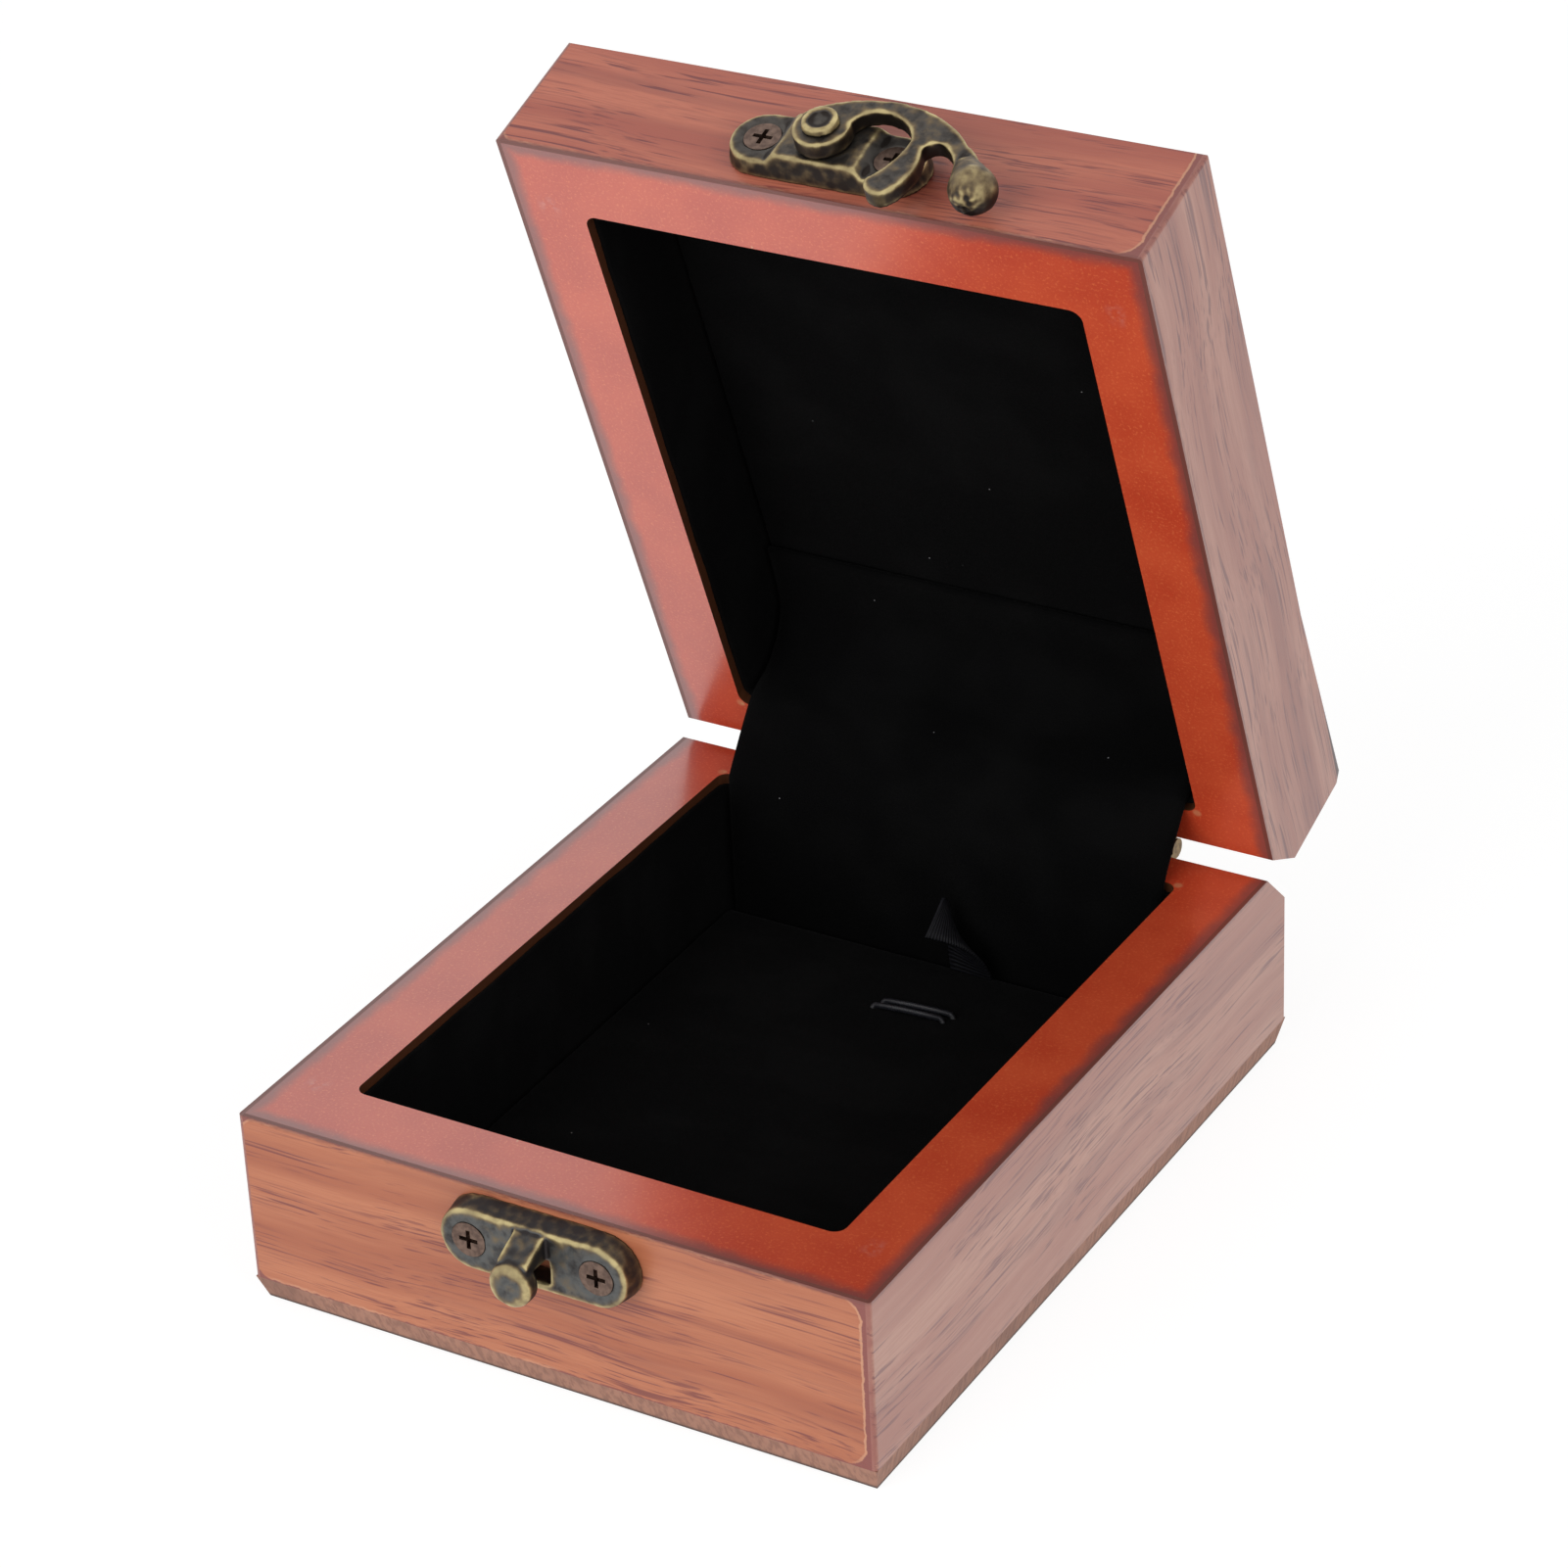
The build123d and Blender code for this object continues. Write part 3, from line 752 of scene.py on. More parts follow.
@dataclass(frozen=True)
class PlainMetal:
    """Metal with fine rubbing marks, for screws and hinges."""

    name: str
    colour: Colour
    dull: Colour
    roughness: float
    rubs: Pattern = Pattern(even(1300), (0.3, 0.7), detail=3.0, rough=0.6)

    def material(self) -> Material:
        """Makes the metal.

        Returns:
            The material.
        """
        graph = new_material(self.name)
        rubs = graph.cloud(graph.place, self.rubs)
        graph.colour = graph.mix(graph.spread(rubs, *self.rubs.band), self.dull, self.colour)
        return graph.finish(
            metallic=0.85,
            roughness=self.roughness,
            normal=graph.bump(rubs, distance=0.00002, strength=0.4),
        )


@dataclass(frozen=True)
class WovenBlack:
    """Black ribbon or elastic, with ribs across its run whose light tone is partly painted sheen."""

    name: str
    black: Colour
    light: Colour
    ribs: float
    roughness: float
    shine: float = 0.25
    rib_band: Band = (0.3, 0.9)

    def material(self) -> Material:
        """Makes the weave, which reads the piece's own run coordinate.

        Returns:
            The material.
        """
        graph = new_material(self.name)
        run = graph.node("ShaderNodeUVMap", uv_map="run")
        inputs = {"Vector": run.outputs["UV"], "Scale": self.ribs}
        weave = graph.node("ShaderNodeTexWave", inputs, bands_direction="Y")
        # The ribs are the weave's own, but their light tone is painted sheen, the weave's blue-grey shine.
        graph.colour = graph.mix(graph.spread(weave.outputs[0], *self.rib_band), self.black, self.light)
        return graph.finish(
            roughness=self.roughness,
            specular_ior_level=self.shine,
            normal=graph.bump(weave.outputs[0], distance=0.0001, strength=0.8),
        )


@dataclass(frozen=True)
class CardFinish:
    """Plain grey card."""

    grey: Colour = tint(120, 116, 110)
    fibre: Colour = tint(92, 88, 82)
    fibres: Pattern = Pattern(even(900), (0.4, 0.65), detail=4.0, rough=0.7)

    def material(self) -> Material:
        """Makes the card.

        Returns:
            The material.
        """
        graph = new_material("grey_card")
        fibres = graph.cloud(graph.place, self.fibres)
        graph.colour = graph.mix(graph.spread(fibres, *self.fibres.band), self.fibre, self.grey)
        return graph.finish(roughness=0.85, normal=graph.bump(fibres, distance=0.00005, strength=0.5))


def dress(node: str, material: Material) -> None:
    """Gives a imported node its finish.

    Args:
        node: The node's name.
        material: The finish.
    """
    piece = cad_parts[node]
    if not piece.material_slots:
        piece.data.materials.append(material)
    for slot in piece.material_slots:
        slot.material = material
    LOG.info("node %s has %s", node, material.name)


def make_object(name: str, mesh: Mesh, material: Material) -> Piece:
    """Turns a finished bmesh into an object at the origin.

    Args:
        name: The piece's name.
        mesh: The shape, in the row frame; it is freed.
        material: The finish.

    Returns:
        The object.
    """
    bmesh.ops.recalc_face_normals(mesh, faces=mesh.faces)
    data = bpy.data.meshes.new(name)
    mesh.to_mesh(data)
    mesh.free()
    data.materials.append(material)
    data.shade_smooth()
    piece = bpy.data.objects.new(name, data)
    bpy.context.scene.collection.objects.link(piece)
    return piece


def apply_modifiers(piece: Piece) -> None:
    """Replaces a piece's mesh by what its modifiers make, and removes them.

    Args:
        piece: The piece.
    """
    evaluated = piece.evaluated_get(bpy.context.evaluated_depsgraph_get())
    data = bpy.data.meshes.new_from_object(evaluated)
    piece.modifiers.clear()
    piece.data = data
    data.shade_smooth()


def smooth_route(points: list[Vector]) -> list[Vector]:
    """A smooth line that these points pull on.

    Args:
        points: The control points, in the row frame.

    Returns:
        Points along the line.
    """
    curve = bpy.data.curves.new("route", "CURVE")
    curve.dimensions = "3D"
    spline = curve.splines.new("NURBS")
    spline.points.add(len(points) - 1)
    for target, point in zip(spline.points, points):
        target.co = (*point, 1)
    spline.order_u = 3
    spline.use_endpoint_u = True
    spline.resolution_u = 12
    holder = bpy.data.objects.new("route", curve)
    bpy.context.scene.collection.objects.link(holder)
    data = bpy.data.meshes.new_from_object(holder)
    route = [vertex.co.copy() for vertex in data.vertices]
    bpy.data.objects.remove(holder)
    bpy.data.meshes.remove(data)
    return route


def run_length(route: list[Vector]) -> float:
    """The length of a line of points."""
    return sum((b - a).length for a, b in zip(route, route[1:]))


def uprights(mesh: Mesh, height: float) -> Edges:
    """The edges that rise by more than half a height."""
    return [edge for edge in mesh.edges if abs(edge.verts[0].co.z - edge.verts[1].co.z) > height / 2]


def round_edges(mesh: Mesh, edges: Edges, radius: float, segments: int) -> None:
    """Rounds some edges of a mesh.

    Args:
        mesh: The mesh.
        edges: The edges to round.
        radius: How far from the edge the rounding starts.
        segments: How many faces it has across it.
    """
    bmesh.ops.bevel(
        mesh, geom=edges, offset=radius, segments=segments, profile=0.5, affect="EDGES", material=-1
    )


def thicken(piece: Piece, thickness: float, offset: float = 0, even_walls: bool = False) -> None:
    """Gives a surface a thickness.

    Args:
        piece: The surface, which becomes a closed shell.
        thickness: How thick it gets.
        offset: -1 to grow against its normals, 0 to grow to both sides.
        even_walls: Keeps the thickness round corners.
    """
    shell = piece.modifiers.new("thickness", "SOLIDIFY")
    shell.thickness = thickness
    shell.offset = offset
    shell.use_even_offset = even_walls
    apply_modifiers(piece)


def woven_grid(columns: int, rows: int, spot: Callable[[int, float], Vector]) -> Mesh:
    """Makes a band whose own run coordinate goes from 0 to 1 across it and along it.

    Args:
        columns: How many faces lie side by side.
        rows: How many follow each other.
        spot: Gives a vertex its place, from its row and its share across, which is 0 in the middle.

    Returns:
        The band.
    """
    mesh = bmesh.new()
    bmesh.ops.create_grid(mesh, x_segments=columns, y_segments=rows, size=0.5)
    layer = mesh.loops.layers.uv.new("run")
    for face in mesh.faces:
        for loop in face.loops:
            loop[layer].uv = (loop.vert.co.x + 0.5, loop.vert.co.y + 0.5)
    for vertex in mesh.verts:
        vertex.co = spot(round((vertex.co.y + 0.5) * rows), vertex.co.x)
    return mesh


@dataclass
class WoodenCase:
    """The boards, frames and veneers of both halves, which are shown as packed."""

    rim: RimPaint = field(default_factory=RimPaint)
    foot: FootBoardFinish = field(default_factory=FootBoardFinish)
    front: VeneerFinish = VeneerFinish(
        "front_veneer", tint(190, 119, 85), tint(168, 95, 65), tint(112, 50, 50), 0.8
    )
    lid_front: VeneerFinish = VeneerFinish(
        "lid_front_veneer", tint(196, 113, 88), tint(168, 85, 68), tint(104, 38, 44), 0.85
    )
    side: VeneerFinish = VeneerFinish(
        "side_veneer", tint(188, 138, 120), tint(168, 110, 94), tint(112, 62, 62), 0.75, coat=0.5
    )
    lid_side: VeneerFinish = VeneerFinish(
        "lid_side_veneer", tint(182, 130, 113), tint(160, 101, 86), tint(104, 55, 56), 0.75, coat=0.5
    )

    def build(self) -> None:
        """Dresses every wooden node."""
        cuts = ((BASE, self.front, self.side, 0.31), (LID, self.lid_front, self.lid_side, 0.77))
        for half, front, side, shift in cuts:
            dress(f"{half.body}_frame", self.rim.material(half))
            dress(f"{half.body}_veneer_front", front.material(half, Sheet.END, shift))
            dress(f"{half.body}_veneer_back", self.front.material(half, Sheet.END, shift + 0.4))
            dress(f"{half.body}_veneer_left", side.material(half, Sheet.SIDE, shift + 0.9))
            dress(f"{half.body}_veneer_right", side.material(half, Sheet.SIDE, shift + 1.7))
        dress("lid_veneer_top", self.front.material(LID, Sheet.TOP, 2.3))
        dress("lid_board", self.rim.material(LID))
        dress("base_board", self.foot.material())


@dataclass
class VelvetLinings:
    """The velvet glued round the walls of each pocket."""

    velvet: Material
    fold_height: float = 0.00022
    fold_run: float = 0.006
    corner_steps: int = 5
    cuts_along: int = 60
    cuts_down: int = 8

    def wall_band(self, half: Half) -> Piece:
        """Makes one pocket's band of velvet, with an uneven cut edge.

        Args:
            half: The half that it lines.

        Returns:
            The band.
        """
        width = BOX.cavity_width - 2 * BOX.glue
        length = BOX.cavity_length - 2 * BOX.glue
        height = half.wall - BOX.lining_drop
        mesh = bmesh.new()
        bmesh.ops.create_cube(mesh, size=1)
        middle = Vector((0, BOX.cavity_middle, BOX.lining_drop + height / 2))
        bmesh.ops.scale(mesh, vec=(width, length, height), verts=mesh.verts)
        bmesh.ops.translate(mesh, vec=middle, verts=mesh.verts)
        ends = [face for face in mesh.faces if abs(face.normal.z) > 0.9]
        bmesh.ops.delete(mesh, geom=ends, context="FACES_ONLY")
        round_edges(mesh, uprights(mesh, height), BOX.corner_radius, self.corner_steps)
        standing = uprights(mesh, height)
        walls = [e for e in mesh.edges if e not in standing and e.calc_length() > width / 2]
        bmesh.ops.subdivide_edges(mesh, edges=walls, cuts=self.cuts_along, use_grid_fill=True)
        bmesh.ops.subdivide_edges(mesh, edges=uprights(mesh, height), cuts=self.cuts_down, use_grid_fill=True)
        for vertex in mesh.verts:
            if vertex.co.z < BOX.lining_drop + height * 0.05:
                vertex.co.z += self.fold_height * noise.noise(vertex.co / self.fold_run)
        bmesh.ops.recalc_face_normals(mesh, faces=mesh.faces)
        bmesh.ops.transform(mesh, matrix=half.matrix(), verts=mesh.verts)
        piece = make_object(f"{half.body}_wall_velvet", mesh, self.velvet)
        thicken(piece, BOX.lining, offset=-1, even_walls=True)
        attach(piece, half.body)
        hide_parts(f"{half.body}_wall_lining")
        LOG.info("%s lines %s", piece.name, half.body)
        return piece

    def build(self) -> None:
        """Makes both bands."""
        for half in (BASE, LID):
            self.wall_band(half)


@dataclass
class VelvetPads:
    """The base's lift-out pad and the lid's glued pad, with their cards."""

    velvet: Material
    crown: float = 0.00035
    wave: float = 0.00012
    wave_run: float = 0.014
    tuck: float = 0.00018
    edge_round: float = 0.0009
    cells: tuple[int, int] = (30, 40)

    def cut_up(self, mesh: Mesh, sizes: Band) -> None:
        """Cuts a pad into a grid fine enough for its waves.

        Args:
            mesh: The pad, round its own middle.
            sizes: Its width and length.
        """
        for axis, (size, cells) in enumerate(zip(sizes, self.cells)):
            normal = Vector((0, 0, 0))
            normal[axis] = 1
            for k in range(1, cells):
                whole = mesh.verts[:] + mesh.edges[:] + mesh.faces[:]
                spot = normal * size * (k / cells - 0.5)
                bmesh.ops.bisect_plane(mesh, geom=whole, dist=1e-7, plane_co=spot, plane_no=normal)

    def cushion(self, name: str, half: Half, face: float, thickness: float, back: float) -> Piece:
        """Makes a thin crowned pad.

        Args:
            name: The piece's name.
            half: The half that it lies in.
            face: The depth of its face.
            thickness: How thick it is.
            back: The y of its back edge.

        Returns:
            The pad.
        """
        width = BOX.cavity_width - 2 * (BOX.wall_offset + BOX.pad_play)
        front = BOX.cavity_back - BOX.cavity_length + BOX.wall_offset + BOX.pad_play
        length = back - front
        mesh = bmesh.new()
        bmesh.ops.create_cube(mesh, size=1)
        bmesh.ops.scale(mesh, vec=(width, length, thickness), verts=mesh.verts)
        round_edges(mesh, uprights(mesh, thickness), self.edge_round, 3)
        rim = [e for e in mesh.edges if e.verts[0].co.z < 0 and e.verts[1].co.z < 0]
        round_edges(mesh, rim, min(self.edge_round, thickness * 0.45), 4)
        self.cut_up(mesh, (width, length))
        for vertex in mesh.verts:
            u = 2 * vertex.co.x / width
            v = 2 * vertex.co.y / length
            swell = (1 - min(1, abs(u)) ** 6) * (1 - min(1, abs(v)) ** 6)
            if vertex.co.z < 0:
                ripple = self.wave * noise.noise(Vector((vertex.co.x, vertex.co.y, face)) / self.wave_run)
                vertex.co.z += self.crown * (1 - swell) + ripple * swell
            vertex.co.x -= math.copysign(self.tuck, u) * (1 - v * v) * min(1, abs(u)) ** 8
            vertex.co.y -= math.copysign(self.tuck, v) * (1 - u * u) * min(1, abs(v)) ** 8
        bmesh.ops.translate(mesh, vec=(0, (front + back) / 2, face + thickness / 2), verts=mesh.verts)
        bmesh.ops.transform(mesh, matrix=half.matrix(), verts=mesh.verts)
        return make_object(name, mesh, self.velvet)

    def build(self) -> None:
        """Makes both pads and dresses the cards under them."""
        card = CardFinish().material()
        back = BOX.cavity_back - BOX.wall_offset - BOX.pad_play
        face = BOX.base_wall - BOX.pad_card - BOX.cushion
        loose = self.cushion("pad_velvet", BASE, face, BOX.cushion, back - BOX.strip_room)
        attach(loose, "pad")
        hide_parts("pad_cushion")
        face = BOX.lid_wall - BOX.lid_card - BOX.lid_cushion
        glued = self.cushion("lid_pad_velvet", LID, face, BOX.lid_cushion, back)
        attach(glued, "lid")
        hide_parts("lid_cushion")
        for piece in (loose, glued):
            LOG.info("%s made", piece.name)
        dress("pad_board", card)
        dress("lid_pad_board", card)


@dataclass
class HingeStrip:
    """The velvet strip that crosses from the base's back wall to the lid's pad."""

    velvet: Material
    gap: float = 0.0003
    foot: float = 0.005
    lid_run: float = 0.016
    side_margin: float = 0.001
    slack: float = 0.00025
    columns: int = 40

    def build(self) -> Piece:
        """Makes the strip, bent over the hinge as the lid stands open.

        Returns:
            The strip.
        """
        back = BOX.cavity_back - BOX.wall_offset - BOX.strip / 2
        lid_face = BOX.lid_wall - BOX.lid_card - BOX.lid_cushion
        bend = BOX.strip / 2 + self.gap
        top = BOX.base_height + self.gap
        crossing = LID.place(0, back - self.gap, bend)
        points = [
            Vector((0, back, self.foot)),
            Vector((0, back, top * 0.6)),
            Vector((0, back, top - 0.0012)),
            Vector((0, back + 0.0004, top + 0.0005)),
            crossing.lerp(Vector((0, back, top)), 0.12),
            crossing + LID.depth_dir * 0.0006,
            LID.place(0, back - bend, lid_face * 0.5),
            LID.place(0, back - self.lid_run * 0.3, lid_face - bend - 0.001),
            LID.place(0, back - self.lid_run * 0.6, lid_face - bend),
            LID.place(0, back - self.lid_run, lid_face - bend),
        ]
        route = smooth_route(points)
        width = BOX.cavity_width - 2 * (BOX.wall_offset + self.side_margin)
        rows = len(route) - 1

        def spot(row: int, across: float) -> Vector:
            """A vertex's place, with a little slack in the strip's free middle."""
            along = row / rows
            wave = noise.noise(Vector((across * 4, along * 6, 3)))
            slack = self.slack * math.sin(math.pi * along) * wave
            return route[row] + Vector((across * width, -abs(slack), slack))

        strip = make_object("hinge_strip_velvet", woven_grid(self.columns, rows, spot), self.velvet)
        thicken(strip, BOX.strip * 0.9)
        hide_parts("hinge_cover")
        flat = (width, run_length(route))
        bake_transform(strip)
        LOG.info("%s crosses the hinge, %.1f mm long", strip.name, 1000 * run_length(route))
        return strip


@dataclass
class PadRibbon:
    """The pull ribbon at the pad's back edge."""

    width: float = 0.006
    thickness: float = 0.00045
    root_x: float = 0.0049
    root_depth: float = 0.0004
    edge: float = 0.0009
    columns: int = 6
    # The light colour on the ribs is painted sheen, the satin's grey-blue shine.
    finish: WovenBlack = WovenBlack(
        "ribbon_weave", (0.0015, 0.0015, 0.0018), (0.008, 0.008, 0.011), ribs=9.0, roughness=0.6
    )

    def build(self) -> Piece:
        """Makes the twisting ribbon.

        Returns:
            The ribbon.
        """
        back = BOX.cavity_back - BOX.wall_offset - BOX.strip_room - BOX.pad_play
        root = Vector((self.root_x, back - self.edge, BOX.pad_top - self.root_depth))
        stations = (
            (Vector((0, 0, 0)), Vector((1, 0, 0))),
            (Vector((-0.0006, -0.0006, 0.0045)), Vector((0.9, -0.3, -0.1))),
            (Vector((-0.002, -0.0018, 0.0084)), Vector((0.4, -0.8, -0.4))),
            (Vector((-0.0036, -0.003, 0.0092)), Vector((0, -0.85, -0.53))),
        )
        route = smooth_route([root + spot for spot, _ in stations])
        sides = smooth_route([across.normalized() for _, across in stations])

        def spot(row: int, across: float) -> Vector:
            """A vertex's place on the twisting band."""
            return route[row] + sides[row].normalized() * across * self.width

        mesh = woven_grid(self.columns, len(route) - 1, spot)
        ribbon = make_object("pull_ribbon_weave", mesh, self.finish.material())
        thicken(ribbon, self.thickness)
        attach(ribbon, "pad")
        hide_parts("pull_ribbon")
        LOG.info("%s made", ribbon.name)
        return ribbon


@dataclass
class PadElastic:
    """The two strands of elastic that hold a watch to the pad."""

    diameter: float = 0.0008
    span: float = 0.01
    pitch: float = 0.0014
    middle_x: float = 0.0028
    from_back: float = 0.0259
    rise: float = 0.0004
    sunk: float = 0.0009
    bend: float = 0.0001
    shoulder: float = 0.0012
    slant: float = math.radians(4.5)
    sides: int = 12
    # The light colour on the ribs is painted sheen, the braid's blue-grey shine.
    finish: WovenBlack = WovenBlack(
        "elastic_braid",
        (0.003, 0.003, 0.004),
        (0.032, 0.033, 0.042),
        ribs=26.0,
        roughness=0.32,
        shine=0.9,
    )

    def strand(self, side: int, material: Material) -> Piece:
        """Makes one strand, which comes out of the pad, crosses it and goes back in.

        Args:
            side: -1 for the front strand and 1 for the back one.
            material: The finish.

        Returns:
            The strand.
        """
        pivot = Vector((self.middle_x, BOX.length / 2 - self.from_back, 0))
        middle = pivot + Vector((side * self.diameter, side * self.pitch, 0)) / 2
        high = BOX.pad_top + self.rise
        half_span = self.span / 2
        half_arch = (
            (half_span, BOX.pad_top - self.sunk),
            (half_span - self.bend, high - self.bend),
            (half_span - self.shoulder, high),
        )
        arch = [(-x, z) for x, z in half_arch] + [(0, high + self.bend)] + list(reversed(half_arch))
        route = smooth_route([middle + Vector((x, 0, z)) for x, z in arch])
        rows = len(route) - 1

        def spot(row: int, across: float) -> Vector:
            """A vertex's place on the round cord."""
            turn = 2 * math.pi * across
            ahead = route[min(row + 1, rows)] - route[max(row - 1, 0)]
            up = ahead.normalized().cross(Vector((0, 1, 0)))
            ray = Vector((0, 1, 0)) * math.cos(turn) + up * math.sin(turn)
            return route[row] + ray * self.diameter / 2

        mesh = woven_grid(self.sides, rows, spot)
        bmesh.ops.remove_doubles(mesh, verts=mesh.verts, dist=1e-6)
        bmesh.ops.holes_fill(mesh, edges=[e for e in mesh.edges if e.is_boundary], sides=0)
        bmesh.ops.rotate(mesh, cent=pivot, matrix=Matrix.Rotation(self.slant, 3, "Z"), verts=mesh.verts)
        return make_object(f"elastic_strand_{'front' if side < 0 else 'back'}", mesh, material)

    def build(self) -> None:
        """Makes both strands."""
        material = self.finish.material()
        strands = [self.strand(side, material) for side in (-1, 1)]
        for strand in strands:
            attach(strand, "pad")
            LOG.info("%s made", strand.name)
        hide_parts("elastic_loops")


@dataclass
class CastLatch:
    """The catch plate, hook plate, rivet and swing hook, rounded and worn as castings are."""

    grain: float = 0.00015
    rounds: int = 14
    rub_rounds: int = 30
    rub_depth: float = 0.00008
    unevenness: float = 0.00007
    dent_run: float = 0.0012
    lump: float = 0.00022
    lump_run: float = 0.0006
    screw_offset: float = 0.0086
    catch_thick: float = 0.0031
    hook_thick: float = 0.0022
    catch_below_rim: float = 0.0054
    rivet_above_rim: float = 0.006
    hook_middle: float = 0.0046
    knob_right: float = 0.0217
    knob_low: float = 0.0047
    knob_radius: float = 0.0029
    neck_radius: float = 0.0014
    neck_right: float = 0.0191
    neck_low: float = 0.0011

    def on_lid_front(self, right: float, up: float, out: float) -> Vector:
        """A point over the lid's front face, from the rivet's middle."""
        return LID.place(right, -BOX.length / 2 - out, self.rivet_above_rim + up)

    def add_neck(self, mesh: Mesh) -> None:
        """Adds the swelling between the hook's lever and its knob.

        Args:
            mesh: The hook's mesh.
        """
        knob = self.on_lid_front(self.knob_right, -self.knob_low, self.hook_middle)
        lever = self.on_lid_front(self.neck_right, -self.neck_low, self.hook_middle)
        cheek = knob + (lever - knob).normalized() * self.knob_radius * 0.2
        turn = (cheek - lever).to_track_quat("Z", "Y").to_matrix().to_4x4()
        bmesh.ops.create_cone(
            mesh,
            cap_ends=True,
            segments=32,
            radius1=self.neck_radius,
            radius2=self.knob_radius * 0.98,
            depth=(cheek - lever).length,
            matrix=Matrix.Translation((cheek + lever) / 2) @ turn,
        )

    def roughen(self, mesh: Mesh) -> None:
        """Makes a casting's skin uneven, with a lumpy sprue mark at the knob's end.

        Args:
            mesh: The casting's mesh.
        """
        knob = self.on_lid_front(self.knob_right, -self.knob_low, self.hook_middle)
        tip = self.on_lid_front(self.knob_right, -self.knob_low - self.knob_radius, self.hook_middle)
        mesh.normal_update()
        moves = []
        for vertex in mesh.verts:
            near_tip = max(0.0, 1 - (vertex.co - tip).length / (knob - tip).length)
            lift = self.unevenness * noise.noise(vertex.co / self.dent_run)
            lift += self.lump * near_tip * noise.noise(vertex.co / self.lump_run)
            moves.append(vertex.normal * lift)
        for vertex, move in zip(mesh.verts, moves):
            vertex.co += move

    def mark_wear(self, piece: Piece) -> None:
        """Stores how far each vertex stands out of its surroundings, from -1 to 1, for the rubbed gold.

        Args:
            piece: The casting.
        """
        mesh = bmesh.new()
        mesh.from_mesh(piece.data)
        mesh.normal_update()
        before = [(vertex.co.copy(), vertex.normal.copy()) for vertex in mesh.verts]
        all_axes = {"use_axis_x": True, "use_axis_y": True, "use_axis_z": True}
        for _ in range(self.rub_rounds):
            bmesh.ops.smooth_vert(mesh, verts=mesh.verts, factor=0.5, **all_axes)
        worn = [(place - v.co).dot(normal) / self.rub_depth for v, (place, normal) in zip(mesh.verts, before)]
        mesh.free()
        marks = piece.data.attributes.new("worn", "FLOAT", "POINT")
        marks.data.foreach_set("value", [max(-1.0, min(1.0, share)) for share in worn])

    def casting(self, node: str, body: str, material: Material) -> Piece:
        """Makes a soft-edged copy of a packed metal node.

        Args:
            node: The node's name.
            body: The body that it rides on.
            material: Its finish.

        Returns:
            The casting.
        """
        mesh = bmesh.new()
        mesh.from_mesh(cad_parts[node].data)
        bmesh.ops.remove_doubles(mesh, verts=mesh.verts, dist=1e-6)
        if node == "hook":
            self.add_neck(mesh)
        piece = make_object(f"{node}_cast", mesh, material)
        skin = piece.modifiers.new("casting", "REMESH")
        skin.mode = "VOXEL"
        skin.voxel_size = self.grain
        soft = piece.modifiers.new("worn", "SMOOTH")
        soft.factor = 0.5
        soft.iterations = self.rounds
        apply_modifiers(piece)
        mesh = bmesh.new()
        mesh.from_mesh(piece.data)
        self.roughen(mesh)
        mesh.to_mesh(piece.data)
        mesh.free()
        piece.data.materials.clear()
        piece.data.materials.append(material)
        self.mark_wear(piece)
        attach(piece, body)
        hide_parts(node)
        LOG.info("%s has %d faces", piece.name, len(piece.data.polygons))
        return piece

    def build(self) -> None:
        """Makes the four castings and dresses the screws."""
        front = -BOX.length / 2 - self.catch_thick
        sides = (-self.screw_offset, self.screw_offset)
        catch_screws = tuple(BASE.place(x, front, self.catch_below_rim) for x in sides)
        hook_screws = tuple(self.on_lid_front(x, 0, self.hook_thick) for x in sides)
        outward = -LID.y_dir
        metal = AntiqueBrass().material("antique_brass", -BASE.y_dir, catch_screws)
        dark = AntiqueBrass(patina=tint(84, 80, 76), dark_patina_and_shade=tint(46, 40, 37))
        plate_metal = dark.material("hook_plate_brass", outward, hook_screws)
        hook_metal = dark.material("hook_brass", outward)
        self.casting("hook", "hook", hook_metal)
        self.casting("hook_rivet", "lid", hook_metal)
        self.casting("hook_plate", "lid", plate_metal)
        self.casting("catch_plate", "base", metal)
        bronze = PlainMetal("screw_bronze", tint(124, 102, 90), tint(92, 74, 66), 0.36).material()
        for node in ("catch_screws", "hook_plate_screws"):
            dress(node, bronze)


@dataclass
class ButtHinges:
    """The two hinges under the velvet strip."""

    brass: PlainMetal = PlainMetal("hinge_brass", tint(150, 124, 80), tint(108, 86, 54), 0.4)

    def build(self) -> None:
        """Dresses the leaves, pins and screws."""
        metal = self.brass.material()
        for side in ("left", "right"):
            for piece in ("base_leaf", "lid_leaf", "pin"):
                dress(f"hinge_{side}_{piece}", metal)
        for node in ("hinge_base_screws", "hinge_lid_screws"):
            dress(node, metal)


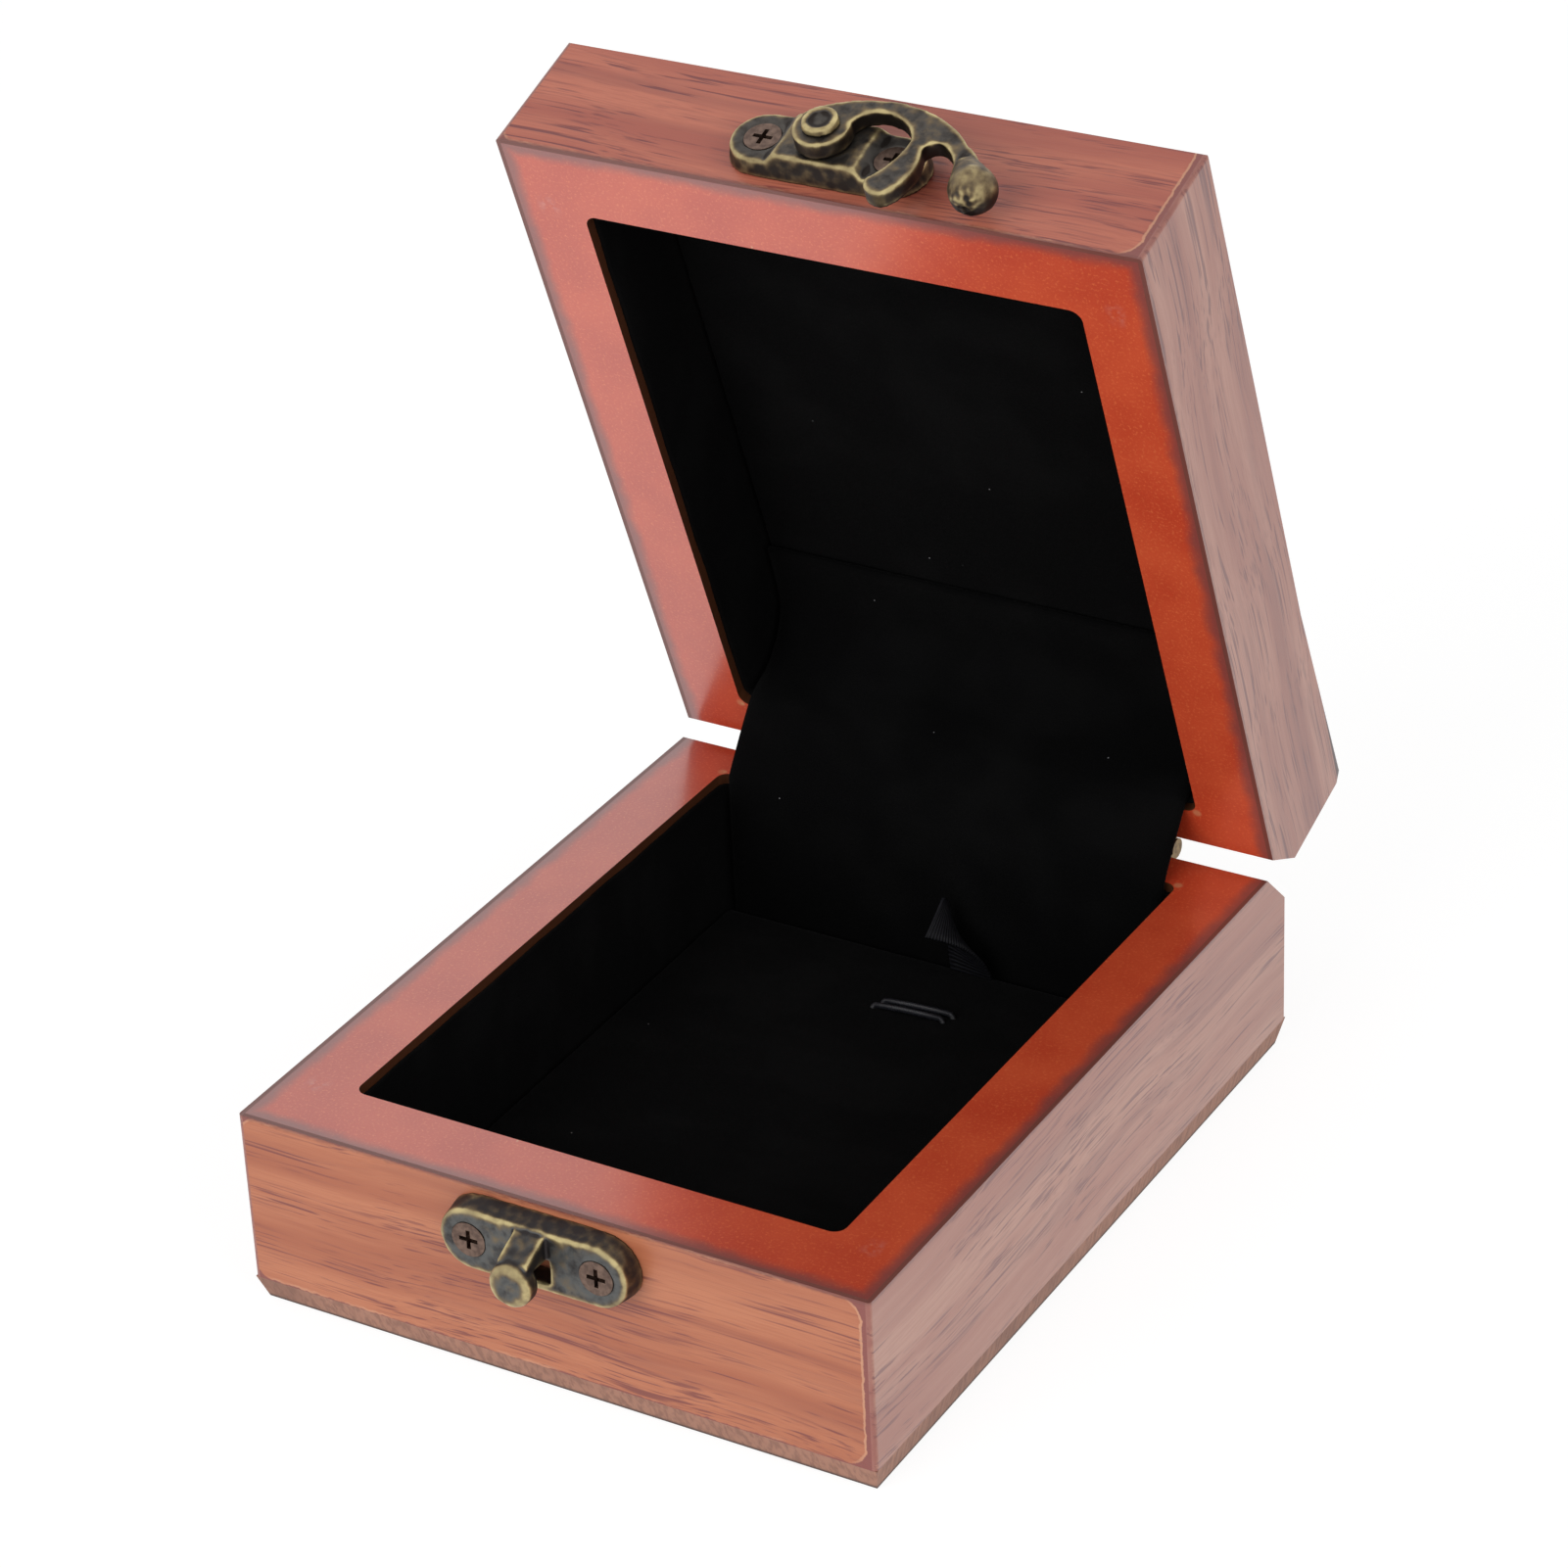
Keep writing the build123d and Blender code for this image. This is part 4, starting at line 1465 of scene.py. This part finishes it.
@dataclass
class Studio:
    """The pale floor, the white surroundings, the lamps and the camera."""

    floor_size: float = 3.0
    floor_drop: float = 0.0001
    floor_grey: Colour = (0.9, 0.9, 0.9)
    white: Colour = (1, 1, 1)
    lamp_target: Vector = Vector((0, 0, 0.04))
    camera_place: Vector = Vector((0.275806, -0.445961, 0.350334))
    camera_turn: tuple[float, float, float] = (60.508, 2.449, 30.1562)
    lens: float = 116.684
    sky: float = 0.45
    shadow_share: float = 0.25
    floor_glow: float = 1.16

    def seen_share(self, graph: Graph, unseen: float, seen: float) -> Socket:
        """One value for what the camera, a reflection or glass sees, and another for all other light.

        Args:
            graph: The node tree.
            unseen: The value for other light.
            seen: The value for what is seen.

        Returns:
            The value.
        """
        path = graph.node("ShaderNodeLightPath").outputs
        looks = graph.either(path["Is Camera Ray"], path["Is Glossy Ray"])
        looks = graph.either(looks, path["Is Transmission Ray"])
        return graph.plus(graph.times(looks, seen - unseen), unseen)

    def surroundings(self) -> None:
        """Makes the white world, which lights the box softly."""
        graph = Graph(bpy.data.worlds.new("white_studio"))
        inputs = {"Color": self.white, "Strength": self.seen_share(graph, self.sky, 1.0)}
        light = graph.node("ShaderNodeBackground", inputs)
        bpy.context.scene.world = graph.output(light, "ShaderNodeOutputWorld")

    def floor(self) -> None:
        """Makes the floor, which shows white but keeps some of the box's shadow."""
        graph = new_material("pale_floor")
        matte = graph.node("ShaderNodeBsdfDiffuse", {"Color": self.floor_grey})
        glow = graph.node("ShaderNodeEmission", {"Color": self.white, "Strength": self.floor_glow})
        share = self.seen_share(graph, 0.0, 1 - self.shadow_share)
        blend = graph.node("ShaderNodeMixShader", {0: share, 1: matte.outputs[0], 2: glow.outputs[0]})
        material = graph.output(blend, "ShaderNodeOutputMaterial")
        mesh = bmesh.new()
        bmesh.ops.create_grid(mesh, x_segments=1, y_segments=1, size=self.floor_size / 2)
        bmesh.ops.translate(mesh, vec=(0, 0, -self.floor_drop), verts=mesh.verts)
        make_object("floor", mesh, material)

    def lamp(self, name: str, place: Vector, size: float, power: float) -> None:
        """Adds a soft lamp that looks at the box.

        Args:
            name: The lamp's name.
            place: Where it stands.
            size: Its side, in metres.
            power: Its power, in watts.
        """
        data = bpy.data.lights.new(name, "AREA")
        data.size = size
        data.energy = power
        lamp = bpy.data.objects.new(name, data)
        lamp.location = place
        lamp.rotation_mode = "QUATERNION"
        lamp.rotation_quaternion = (self.lamp_target - place).to_track_quat("-Z", "Y")
        lamp.visible_glossy = False
        bpy.context.scene.collection.objects.link(lamp)

    def camera(self) -> None:
        """Makes the camera as the photograph's stood."""
        data = bpy.data.cameras.new("camera")
        data.lens = self.lens
        data.sensor_width = 36
        data.clip_start = 0.01
        camera = bpy.data.objects.new("camera", data)
        camera.location = self.camera_place
        camera.rotation_euler = [math.radians(angle) for angle in self.camera_turn]
        bpy.context.scene.collection.objects.link(camera)
        bpy.context.scene.camera = camera

    def build(self) -> None:
        """Sets the whole studio up."""
        bpy.context.scene.view_settings.view_transform = "Standard"
        self.surroundings()
        self.floor()
        self.lamp("key_lamp", Vector((-0.3, -1.0, 0.42)), 0.9, 7.0)
        self.lamp("fill_lamp", Vector((1.0, -0.3, 0.5)), 0.8, 4.0)
        self.camera()
        LOG.info("studio ready")


def main() -> None:
    """Builds and dresses the box, part by part."""
    velvet = VelvetFinish().material("black_velvet")
    WoodenCase().build()
    VelvetLinings(velvet).build()
    VelvetPads(velvet).build()
    HingeStrip(velvet).build()
    PadRibbon().build()
    PadElastic().build()
    CastLatch().build()
    ButtHinges().build()
    Studio().build()


if __name__ == "__main__":
    main()
